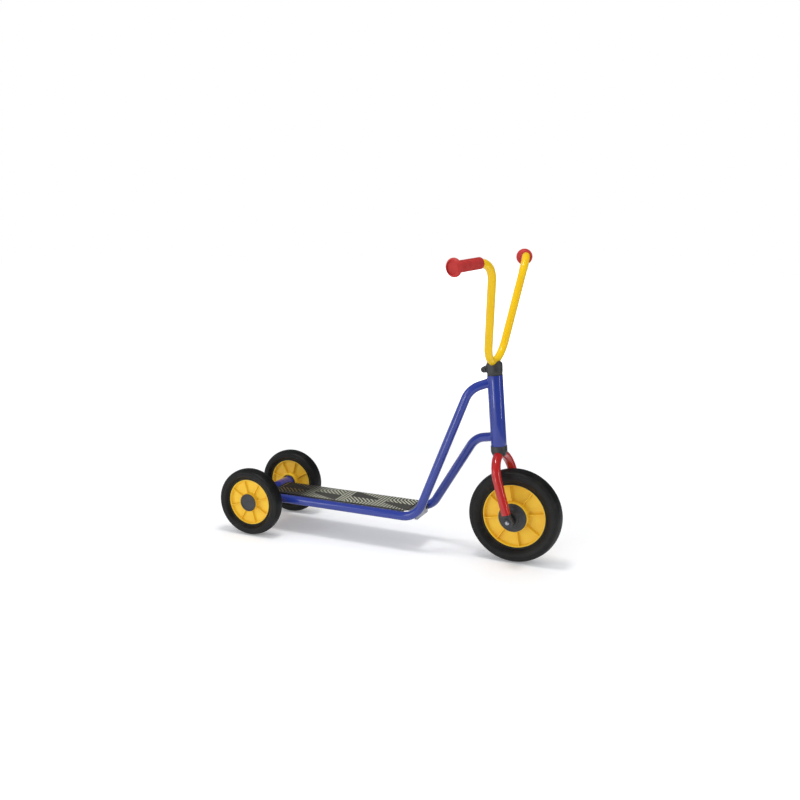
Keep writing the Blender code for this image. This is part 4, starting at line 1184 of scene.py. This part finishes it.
# %% The moulded discs
def wheel_disc(name, wheel):
    """The whole moulding, in the wheel's own frame."""
    lip = wheel["disc"] - LIP_THICKNESS
    reach, hub, bore = wheel["lip_reach"], wheel["hub"], wheel["hub_bore"]

    def face(hub_reach, floor_reach):
        """One face from the rim to the bore, with its fillets, as if it looked up."""
        return [
            (wheel["disc"], reach), (lip + DRAFT, reach), (lip - DRAFT, WEB + FILLET),
            (lip - DRAFT - FILLET, WEB), (hub + DRAFT + FILLET, WEB), (hub + DRAFT, WEB + FILLET),
            (hub, hub_reach), (bore, hub_reach), (bore, floor_reach), (wheel["bush"], floor_reach),
        ]

    inner = face(wheel["hub_in"], wheel["floor_in"])
    outer = face(wheel["hub_out"], wheel["floor_out"])
    profile = outer[:1] + [(out, -up) for out, up in inner] + outer[:0:-1]
    disc = turned(name, profile, steps=96, rounding=0.0007)
    return combine(disc, all_ribs(wheel), "UNION")


REAR_FRAMES = side_frames(REAR_AXLE, REAR_WHEEL_Y)
FRONT_FRAMES = side_frames(FRONT_AXLE, 0)

rear_disc = wheel_disc("rear_disc", REAR_WHEEL)
for side, where in REAR_FRAMES.items():
    disc = settle(copy_of(rear_disc, "rear_disc_" + side), where)
    hand_over(disc, side + "_rear_wheel", "yellow_plastic", ["rear_rim_" + side], angle=30)
bpy.data.objects.remove(rear_disc)
front_disc = settle(wheel_disc("front_disc", FRONT_WHEEL), FRONT_FRAMES["right"])
hand_over(front_disc, "front_wheel", "yellow_plastic", ["front_rim"], angle=30)

# %% [markdown]
# Tyres
#
# The tyres are solid rubber with a rounded tread, a moulded ring at the foot of the side wall and
# another at the shoulder, and fine grooves round the tread. The profile follows a quarter of an
# ellipse over the tread. The rows that will become grooves are already in it, so that after the
# spin their faces can be chosen by place and sunk in.

# %% Tyres
TREAD_DEPTH = 0.009
GROOVE_HALF = 0.0006
GROOVE_DEPTH = 0.0011


def tyre(name, wheel, grooves, where):
    """A tyre with pairs of grooves so far from its middle, put on its wheel."""
    radius, half, disc, lip = (wheel[key] for key in ("radius", "half_width", "disc", "lip_reach"))

    def crown(z):
        """The radius of the tread so far from the tyre's middle."""
        return radius - TREAD_DEPTH * (1 - math.sqrt(max(0.0, 1 - (z / half) ** 2)))

    rows = {half * math.cos(math.radians(5 * step)) for step in range(19)}
    for groove in grooves:
        rows -= {row for row in rows if abs(row - groove) < 2 * GROOVE_HALF}
        rows |= {groove - GROOVE_HALF, groove + GROOVE_HALF}
    wall_foot = (disc + 0.0075, lip + 0.0042)
    wall_top = (radius - 2 * TREAD_DEPTH, half - 0.0008)
    side = [
        (disc + HAIR, lip + 0.0002), (disc + 0.0006, lip + 0.0012), (disc + 0.0020, lip + 0.0019),
        (disc + 0.0042, lip + 0.0019), (disc + 0.0052, lip + 0.0015), wall_foot,
    ]
    for share in (0.35, 0.65, 0.85):
        out = wall_foot[0] + share * (wall_top[0] - wall_foot[0])
        up = wall_foot[1] + (1 - (1 - share) ** 1.8) * (wall_top[1] - wall_foot[1])
        side.append((out, up))
    shoulder = wall_top[0]
    side += [
        wall_top, (shoulder + 0.0038, half - 0.0006), (shoulder + 0.0042, half + 0.0002),
        (shoulder + 0.0058, half + 0.0002), (shoulder + 0.0063, half - 0.0006),
    ]
    tread = [(crown(z), z) for z in sorted(rows, reverse=True) if z < half - HAIR]
    upper = side + tread
    profile = upper + [(out, -up) for out, up in reversed(upper)]
    piece = turned(name, profile, steps=112)
    edit(piece)

    def in_groove(face):
        spot = middle(face)
        off = min(abs(abs(spot.z) - groove) for groove in grooves)
        return off < 0.6 * GROOVE_HALF and spot.xy.length > disc + 0.012

    sunk = choose("FACE", in_groove)
    sink = {"value": -GROOVE_DEPTH}
    bpy.ops.mesh.extrude_region_shrink_fatten(TRANSFORM_OT_shrink_fatten=sink)
    put_down()
    print(name, "is", round(piece.dimensions.x, 4), "across, with", sunk, "faces sunk to grooves")
    return settle(piece, where)


for side, where in REAR_FRAMES.items():
    made = tyre("rear_tyre_grooved_" + side, REAR_WHEEL, (0.0032, 0.0090, 0.0140), where)
    hand_over(made, side + "_rear_wheel", "tyre_rubber", ["rear_tyre_" + side], angle=35)
made = tyre("front_tyre_grooved", FRONT_WHEEL, (0.0036, 0.0104, 0.0166), FRONT_FRAMES["right"])
hand_over(made, "front_wheel", "tyre_rubber", ["front_tyre"], angle=35)

# %% [markdown]
# Hub caps
#
# The rear hubs are closed by round caps: a raised rim round a slightly domed face. The front hub
# has a deeper cover on each side, which steps up to a boss round the axle's spacer.

# %% Rear hub caps and the front hub's covers
CAP_RADIUS = REAR_WHEEL["hub_bore"] - GAP
CAP_SEAT = REAR_WHEEL["hub_out"] + HAIR
CAP_TOP = CAP_SEAT + 0.0018
CAP_FOOT = 0.0033
CAP_BORE = CAP_RADIUS - 0.002
CAP_ROOF = CAP_TOP - 0.0030
FLANGE = 0.0263
rear_cap = [
    (0, CAP_TOP - 0.0004), (0.010, CAP_TOP - 0.0006), (0.0200, CAP_TOP - 0.0012),
    (0.0210, CAP_TOP - 0.0012), (0.0218, CAP_TOP), (0.0246, CAP_TOP), (FLANGE, CAP_TOP - 0.0010),
    (FLANGE, CAP_SEAT), (CAP_RADIUS, CAP_SEAT), (CAP_RADIUS, CAP_FOOT), (CAP_BORE, CAP_FOOT),
    (CAP_BORE, CAP_ROOF), (0, CAP_ROOF),
]
for side, where in REAR_FRAMES.items():
    made = turned("rear_cap_" + side, rear_cap, closed=False, rounding=0.0004, where=where)
    hand_over(made, side + "_rear_wheel", "black_plastic", ["rear_hub_cap_" + side])

COVER_RADIUS = FRONT_WHEEL["hub_bore"] - GAP
COVER_SEAT = FRONT_WHEEL["hub_out"] + HAIR
COVER_FOOT = 0.0116
COVER_HOLE = 0.0115
BOSS_REACH = 0.045
BOSS_INSIDE = BOSS_REACH - 0.0015
cover = [
    (0.021, BOSS_REACH), (0.0222, 0.0335), (0.0265, 0.0318), (0.0275, 0.0292), (0.0335, 0.0280),
    (0.0352, 0.0272), (0.0385, 0.0272), (0.0398, 0.0268), (0.0398, COVER_SEAT),
    (COVER_RADIUS, COVER_SEAT), (COVER_RADIUS, COVER_FOOT), (COVER_HOLE, COVER_FOOT),
    (COVER_HOLE, BOSS_INSIDE), (0.0150, BOSS_INSIDE), (0.0160, BOSS_REACH),
]
for side, where in FRONT_FRAMES.items():
    made = turned("front_hub_cover_" + side, cover, steps=72, rounding=0.0006, where=where)
    hand_over(made, "front_wheel", "black_plastic", ["front_hub_cap_" + side])

# %% [markdown]
# The fork
#
# One red tube is bent to a half circle over the front wheel and runs straight down to the axle on
# both sides. It is the work of the tube bender again: a path with two square corners, each rounded
# with half the fork's width, so that two quarter bends meet over the wheel.

# %% The fork's tube
FORK_HALF = 0.065
FORK_CUT = 0.021
ARCH_DROP = 0.004
FORK_DOWN = (FRONT_AXLE - CROWN).normalized()
aside = Vector((0, FORK_HALF, 0))
leg_foot = FRONT_AXLE - FORK_DOWN * FORK_CUT
arch_top = CROWN + FORK_DOWN * ARCH_DROP
fork_path = [leg_foot - aside, arch_top - aside, arch_top + aside, leg_foot + aside]
fork_bends = [FORK_HALF, FORK_HALF]
fork = bent_tube("fork_tube_painted", fork_path, fork_bends, TUBE_RADIUS, bend_steps=28)
hand_over(fork, "steering", "red_enamel", ["fork_legs"])

# %% [markdown]
# The crown cover
#
# A black moulded ring closes the gap between the head tube and the fork's arch. It is as wide as
# the head tube on top, with a thin skirt round its end, and draws in below. Its foot straddles the
# arch, so it is turned whole and then cut with a bar of the fork's own path, a little wider than
# the tube.

# %% Crown cover
COVER_HIGH = -0.0029
COVER_LOW = -0.0235
COVER_BORE = 0.013
SKIRT_TOP = 0.0045
SKIRT_BORE = HEAD_RADIUS + GAP
SKIRT_RADIUS = HEAD_RADIUS + 0.0012
cover_side = [
    (COVER_BORE, COVER_HIGH), (SKIRT_BORE, COVER_HIGH), (SKIRT_BORE, SKIRT_TOP),
    (SKIRT_RADIUS - 0.0004, SKIRT_TOP), (SKIRT_RADIUS, SKIRT_TOP - 0.0006),
    (SKIRT_RADIUS, -0.0110), (0.0217, -0.0134), (0.0205, -0.0170), (0.0189, -0.0204),
    (0.0178, -0.0226), (0.0166, COVER_LOW), (COVER_BORE, COVER_LOW),
]
crown_cover = turned("crown_cover_moulded", cover_side, steps=80, where=HEAD_FRAME)
arch_cut = bent_tube("arch_cut", fork_path, fork_bends, TUBE_RADIUS + HAIR, bend_steps=28)
combine(crown_cover, arch_cut, "DIFFERENCE")
hand_over(crown_cover, "steering", "black_plastic", ["crown_cover"])

# %% [markdown]
# The fork ends
#
# A black end sits in each leg: a collar as wide as the tube, a neck that flattens below it, and a
# round eye for the axle. Such an end is moulded in one piece. A turned plug, a block and a thick
# disc are united, the axle's hole is cut, and one bevel over all the edges gives the even rounding
# of a moulding.

# %% One fork end, then the other
EYE_RADIUS = 0.0145
EYE_HALF = 0.006
BOLT_HOLE = 0.0053

plug = [
    (0, 0.0207), (0.0118, 0.0207), (TUBE_RADIUS, 0.0201), (TUBE_RADIUS, 0.0177), (0.0121, 0.0160),
    (0.0098, 0.0128), (0.0056, 0.0097), (0, 0.0097),
]
across = axis_frame((0, 0, 0), (0, 1, 0))
fork_end = turned("fork_end", plug, closed=False)
eye = round_bar("eye", across, EYE_RADIUS, -EYE_HALF, EYE_HALF, sides=72)
neck = slab("neck", (-0.0112, -0.0058, 0), (0.0112, 0.0058, 0.0165))
for other in (eye, neck):
    combine(fork_end, other, "UNION")
combine(fork_end, round_bar("axle_hole", across, BOLT_HOLE, -0.02, 0.02, sides=32), "DIFFERENCE")
soften(fork_end, 0.0009, angle=30)
for side, sign in SIDES:
    leg_frame = axis_frame(FRONT_AXLE + aside * sign, -FORK_DOWN)
    made = settle(copy_of(fork_end, "fork_end_moulded_" + side), leg_frame)
    hand_over(made, "steering", "black_plastic", ["fork_end_" + side])
bpy.data.objects.remove(fork_end)

# %% [markdown]
# The front axle
#
# A long bolt holds the wheel between the fork ends, with a domed head on the right and a nut on
# the left, a washer under each and a sleeve on either side of the hub. All of them are turned but
# the nut, which is a six-sided bar with its corners taken off by a turned cone.

# %% Bolt, washers and sleeves
AXLE_SEAT = 0.0728
AXLE_RADIUS = 0.005
head = [
    (0, 0.0773), (0.0018, 0.07715), (0.0036, 0.0766), (0.0049, 0.0756), (0.0057, 0.0744),
    (0.0059, 0.0736), (0.0059, AXLE_SEAT), (AXLE_RADIUS, AXLE_SEAT), (AXLE_RADIUS, -0.0782),
    (0.0044, -0.0788), (0, -0.0788),
]
bolt = turned("front_axle_bolt_domed", head, steps=48, closed=False, where=FRONT_FRAMES["right"])
hand_over(bolt, "steering", "zinc_steel", ["front_axle_bolt"])
ring = [
    (BOLT_HOLE, 0.0713), (0.0088, 0.0713), (0.0090, 0.0715), (0.0090, 0.0723), (0.0088, 0.0725),
    (BOLT_HOLE, 0.0725),
]
spacer = [
    (BOLT_HOLE, COVER_FOOT), (0.0095, COVER_FOOT), (0.0095, 0.0562), (0.0091, 0.0564),
    (0.0091, 0.0570), (0.0095, 0.0572), (0.0095, 0.0583), (0.0091, 0.0587), (BOLT_HOLE, 0.0587),
]
for side, where in FRONT_FRAMES.items():
    made = turned("front_washer_pressed_" + side, ring, steps=48, where=where)
    hand_over(made, "steering", "black_plastic", ["front_washer_" + side])
    made = turned("front_axle_sleeve_" + side, spacer, steps=56, where=where)
    hand_over(made, "steering", "black_plastic", ["front_spacer_" + side])


# %% Six-sided nuts
CHAMFER_INSET = 0.0002
CHAMFER_SLOPE = 0.55


def nut(name, radius, bore, low, high, where):
    """A nut along the Z of a frame, with both faces chamfered to a round edge."""
    made = round_bar(name, None, radius, low, high, sides=6)
    flat = radius * math.cos(math.pi / 6) - CHAMFER_INSET
    slope = CHAMFER_SLOPE * (radius - flat)
    cone = [
        (0, high), (flat, high), (radius, high - slope), (radius, low + slope), (flat, low),
        (0, low),
    ]
    combine(made, turned("chamfer", cone, steps=48, closed=False), "INTERSECT")
    combine(made, round_bar("thread_hole", None, bore, low - 0.01, high + 0.01, 32), "DIFFERENCE")
    return settle(made, where)


seat = (AXLE_SEAT, 0.0778)
made = nut("front_axle_nut_chamfered", 0.0085, AXLE_RADIUS, *seat, FRONT_FRAMES["left"])
hand_over(made, "steering", "zinc_steel", ["front_axle_nut"], angle=20)

# %% [markdown]
# The handlebar
#
# The yellow bar is one tube too. It starts as a V with a round foot in the clamp. High up, each
# arm bends outwards and back to a straight end for the hand. Five points and three radii say it
# all.

# %% The handlebar's tube
BAR_RADIUS = 0.0107
BAR_HALF_ANGLE = math.radians(18.2)
BAR_ARM = 0.4582
BAR_END = 0.147
BAR_BENDS = [0.0649, 0.0732, 0.0649]
BAR_LEAN = math.radians(8.2)
BAR_UP = Vector((math.sin(BAR_LEAN), 0, math.cos(BAR_LEAN)))
BAR_RISE = 0.0374
END_SWEEP = math.radians(19.2)
END_DROOP = math.radians(3.8)
bar_foot = HEAD_TOP + UP_AXIS * BAR_RISE
BAR_APEX = bar_foot - BAR_UP * BAR_BENDS[1] * (1 / math.sin(BAR_HALF_ANGLE) - 1)


def bar_corner(sign):
    """Where one arm bends out to its end. sign is -1 on the right."""
    up = BAR_UP * (BAR_ARM * math.cos(BAR_HALF_ANGLE))
    return BAR_APEX + up + Vector((0, sign * BAR_ARM * math.sin(BAR_HALF_ANGLE), 0))


def end_way(sign):
    """The direction of one end, from the bend outwards."""
    level = math.cos(END_DROOP)
    back, out = -math.sin(END_SWEEP) * level, sign * math.cos(END_SWEEP) * level
    return Vector((back, out, -math.sin(END_DROOP)))


bar_path = [
    bar_corner(-1) + end_way(-1) * BAR_END, bar_corner(-1), BAR_APEX, bar_corner(1),
    bar_corner(1) + end_way(1) * BAR_END,
]
bar = bent_tube("handlebar_painted", bar_path, BAR_BENDS, BAR_RADIUS, bend_steps=24)
hand_over(bar, "steering", "yellow_enamel", ["handlebar"])

# %% [markdown]
# The clamp
#
# A moulded collar grips the top of the steering tube. Two horns rise from it, one before and one
# behind the bar, and hold the bar's round foot between them. Behind it a slotted lug takes the
# pinch bolt. The collar is turned, the lug is united with it, the slot and the holes are cut, and
# the bar's own path cuts the saddle, so the bar lies in it exactly.

# %% Clamp
CLAMP_LOW = 0.1994
CLAMP_HIGH = 0.2312
CLAMP_RADIUS = 0.0205
LUG_REACH = 0.0265
LUG_RADIUS = 0.0085
LUG_HALF = 0.0115
LUG_UP = CLAMP_LOW + 0.0138
LUG_INSET = 0.0004
WEB_RISE = 0.0075
HORN_TOP = CLAMP_HIGH + 0.0030
HORN_DEPTH = 0.0100
HORN_ROUNDING = 0.0084
SLOT_HALF = 0.001
PINCH_HOLE = 0.0033

collar = [
    (0.013, CLAMP_LOW), (CLAMP_RADIUS - 0.0006, CLAMP_LOW), (CLAMP_RADIUS, CLAMP_LOW + 0.0006),
    (CLAMP_RADIUS + 0.0010, CLAMP_LOW + 0.008),
]
for step in range(8):
    angle = math.radians(12 * step)
    out = CLAMP_RADIUS + 0.0015 - HORN_ROUNDING * (1 - math.cos(angle))
    collar.append((out, HORN_TOP - HORN_DEPTH * (1 - math.sin(angle))))
collar.append((0.0105, HORN_TOP))
clamp = turned("handlebar_clamp_moulded", collar, steps=80)
lug_axle = axis_frame((-LUG_REACH, 0, LUG_UP), (0, -1, 0))
lug = round_bar("lug", lug_axle, LUG_RADIUS, -LUG_HALF, LUG_HALF)
combine(clamp, lug, "UNION")
neck_low = (-LUG_REACH, LUG_INSET - LUG_HALF, LUG_UP - LUG_RADIUS + LUG_INSET)
neck_high = (-0.0140, LUG_HALF - LUG_INSET, LUG_UP + LUG_RADIUS - LUG_INSET)
neck = slab("lug_neck", neck_low, neck_high)
edit(neck)
choose("VERT", lambda vert: vert.co.x > -0.015 and vert.co.z > LUG_UP)
bpy.ops.transform.translate(value=(0, 0, WEB_RISE))
combine(clamp, neck, "UNION")
pinch_low = (-LUG_REACH - 0.02, -SLOT_HALF, CLAMP_LOW - 0.01)
pinch_high = (0, SLOT_HALF, LUG_UP + LUG_RADIUS + WEB_RISE)
combine(clamp, slab("pinch_slot", pinch_low, pinch_high), "DIFFERENCE")
bolt_hole = round_bar("bolt_hole", lug_axle, PINCH_HOLE, -0.03, 0.03, sides=32)
combine(clamp, bolt_hole, "DIFFERENCE")
settle(clamp, HEAD_FRAME)
saddle = bent_tube("saddle_cut", bar_path, BAR_BENDS, BAR_RADIUS + GAP, bend_steps=24)
combine(clamp, saddle, "DIFFERENCE")
soften(clamp, 0.0009, angle=38)
hand_over(clamp, "steering", "black_plastic", ["handlebar_clamp"])

# %% Pinch bolt and its nut
PINCH_FACE = LUG_HALF + GAP
pinch_frame = HEAD_FRAME @ lug_axle
socket_head = [
    (0, PINCH_FACE + 0.004), (0.0045, PINCH_FACE + 0.004), (0.005, PINCH_FACE + 0.0035),
    (0.005, PINCH_FACE), (0.003, PINCH_FACE), (0.003, -0.0163), (0.0025, -0.0168), (0, -0.0168),
]
pinch_bolt = turned("clamp_bolt_socket", socket_head, steps=40, closed=False)
key_hole = round_bar("key_hole", None, 0.0026, PINCH_FACE + 0.0016, PINCH_FACE + 0.01, sides=6)
combine(pinch_bolt, key_hole, "DIFFERENCE")
settle(pinch_bolt, pinch_frame)
hand_over(pinch_bolt, "steering", "black_plastic", ["clamp_bolt"], angle=30)
seat = (-PINCH_FACE - 0.004, -PINCH_FACE)
pinch_nut = nut("clamp_nut_chamfered", 0.0055, 0.003, *seat, pinch_frame)
hand_over(pinch_nut, "steering", "black_plastic", ["clamp_nut"], angle=20)

# %% [markdown]
# The grips
#
# A grip is a soft sleeve with a broad flange that keeps the hand from knocking against things. It
# is turned straight, with its flange and a dished end. Every second strip of its wall is then
# raised a little, which gives the fine ribs under the hand. Its inner end reaches round the start
# of the bar's bend, so the rings there are slid sideways as the bend asks.

# %% One grip in its own frame
GRIP_START = 0.050
GRIP_WALL = GRIP_START + 0.0048
GRIP_END = 0.1545
GRIP_RADIUS = 0.0142
GRIP_RIBS = 24
RIB_RISE = 0.0004
FLANGE_RADIUS = 0.0229
grip_side = [
    (0.0110, GRIP_START), (0.0128, GRIP_START), (0.0137, GRIP_START + 0.0004),
    (0.0144, GRIP_START + 0.0012), (0.0146, GRIP_START + 0.0024), (0.0146, GRIP_START + 0.0042),
    (GRIP_RADIUS, GRIP_WALL), *[(GRIP_RADIUS, GRIP_WALL + 0.0045 * step) for step in range(1, 19)],
    (GRIP_RADIUS, 0.1378), (0.0147, 0.1388), (0.0156, 0.1401), (0.0175, 0.1421), (0.0202, 0.1434),
    (0.0221, 0.1441), (0.0228, 0.1449), (FLANGE_RADIUS, 0.1461), (FLANGE_RADIUS, 0.1481),
    (0.0226, 0.1496), (0.0213, 0.1517), (0.0194, 0.1537), (0.0181, GRIP_END), (0.0172, GRIP_END),
    (0.0166, 0.1530), (0.0162, 0.1510), (0.0154, 0.1503), (0.0100, 0.1502), (0, 0.1503),
]
grip = turned("grip", grip_side, steps=4 * GRIP_RIBS, closed=False)


def on_grip_rib(face):
    """Whether a face of the grip's wall lies on one of its fine ribs."""
    spot = middle(face)
    turn = math.atan2(spot.y, spot.x) / math.tau * GRIP_RIBS % 1
    on_wall = GRIP_WALL + 0.0004 < spot.z < 0.1376 and spot.xy.length > 0.0130
    return on_wall and turn < 0.5


edit(grip)
strips = choose("FACE", on_grip_rib)
bpy.ops.mesh.extrude_region_shrink_fatten(TRANSFORM_OT_shrink_fatten={"value": RIB_RISE})
print(strips, "faces raised to grip ribs")

# %% The grip on the bend, right and left
END_BEND = BAR_BENDS[0]
toward_foot = (BAR_APEX - bar_corner(-1)).normalized()
bend_angle = math.pi - toward_foot.angle(end_way(-1))
bend_reach = END_BEND * math.tan(bend_angle / 2)
choose("VERT", lambda vert: vert.co.z < bend_reach - HAIR)
grip_points = bmesh.from_edit_mesh(grip.data).verts
rings = sorted({round(vert.co.z, 5) for vert in grip_points if vert.select})
for ring in rings:
    choose("VERT", lambda vert: abs(vert.co.z - ring) < 0.00002 and vert.co.xy.length < 0.02)
    inward = bend_reach - ring
    slide = END_BEND - math.sqrt(END_BEND**2 - inward**2)
    bpy.ops.transform.translate(value=(slide, 0, 0))
print("the bend starts", round(bend_reach, 4), "from the corner;", len(rings), "rings were slid")

for side, sign in SIDES:
    out = end_way(sign)
    toward_foot = (BAR_APEX - bar_corner(sign)).normalized()
    sideways = (toward_foot - out * toward_foot.dot(out)).normalized()
    grip_frame = frame_of(bar_corner(sign), sideways, out)
    made = settle(copy_of(grip, "grip_ribbed_" + side), grip_frame)
    hand_over(made, "steering", "red_rubber", ["grip_" + side], angle=26)
bpy.data.objects.remove(grip)

# %% [markdown]
# What stays as a solid
#
# Bushes, washers, nuts, plugs and the axle rod hide inside the hubs and the rear axle tube, and
# the steering tube hides inside the head tube. They need no new shape, so they keep their solids
# and get the finish of their slot.

# %% Finishes on the solids that stay
kept = 0
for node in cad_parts.values():
    if not node.hide_render:
        kept += 1
        slot = node.material_slots[0]
        slot.material = FINISHES[slot.material.name.split(".")[0]]
print(kept, "solids are shown with a new finish")

# %% Nothing left selected
put_down()
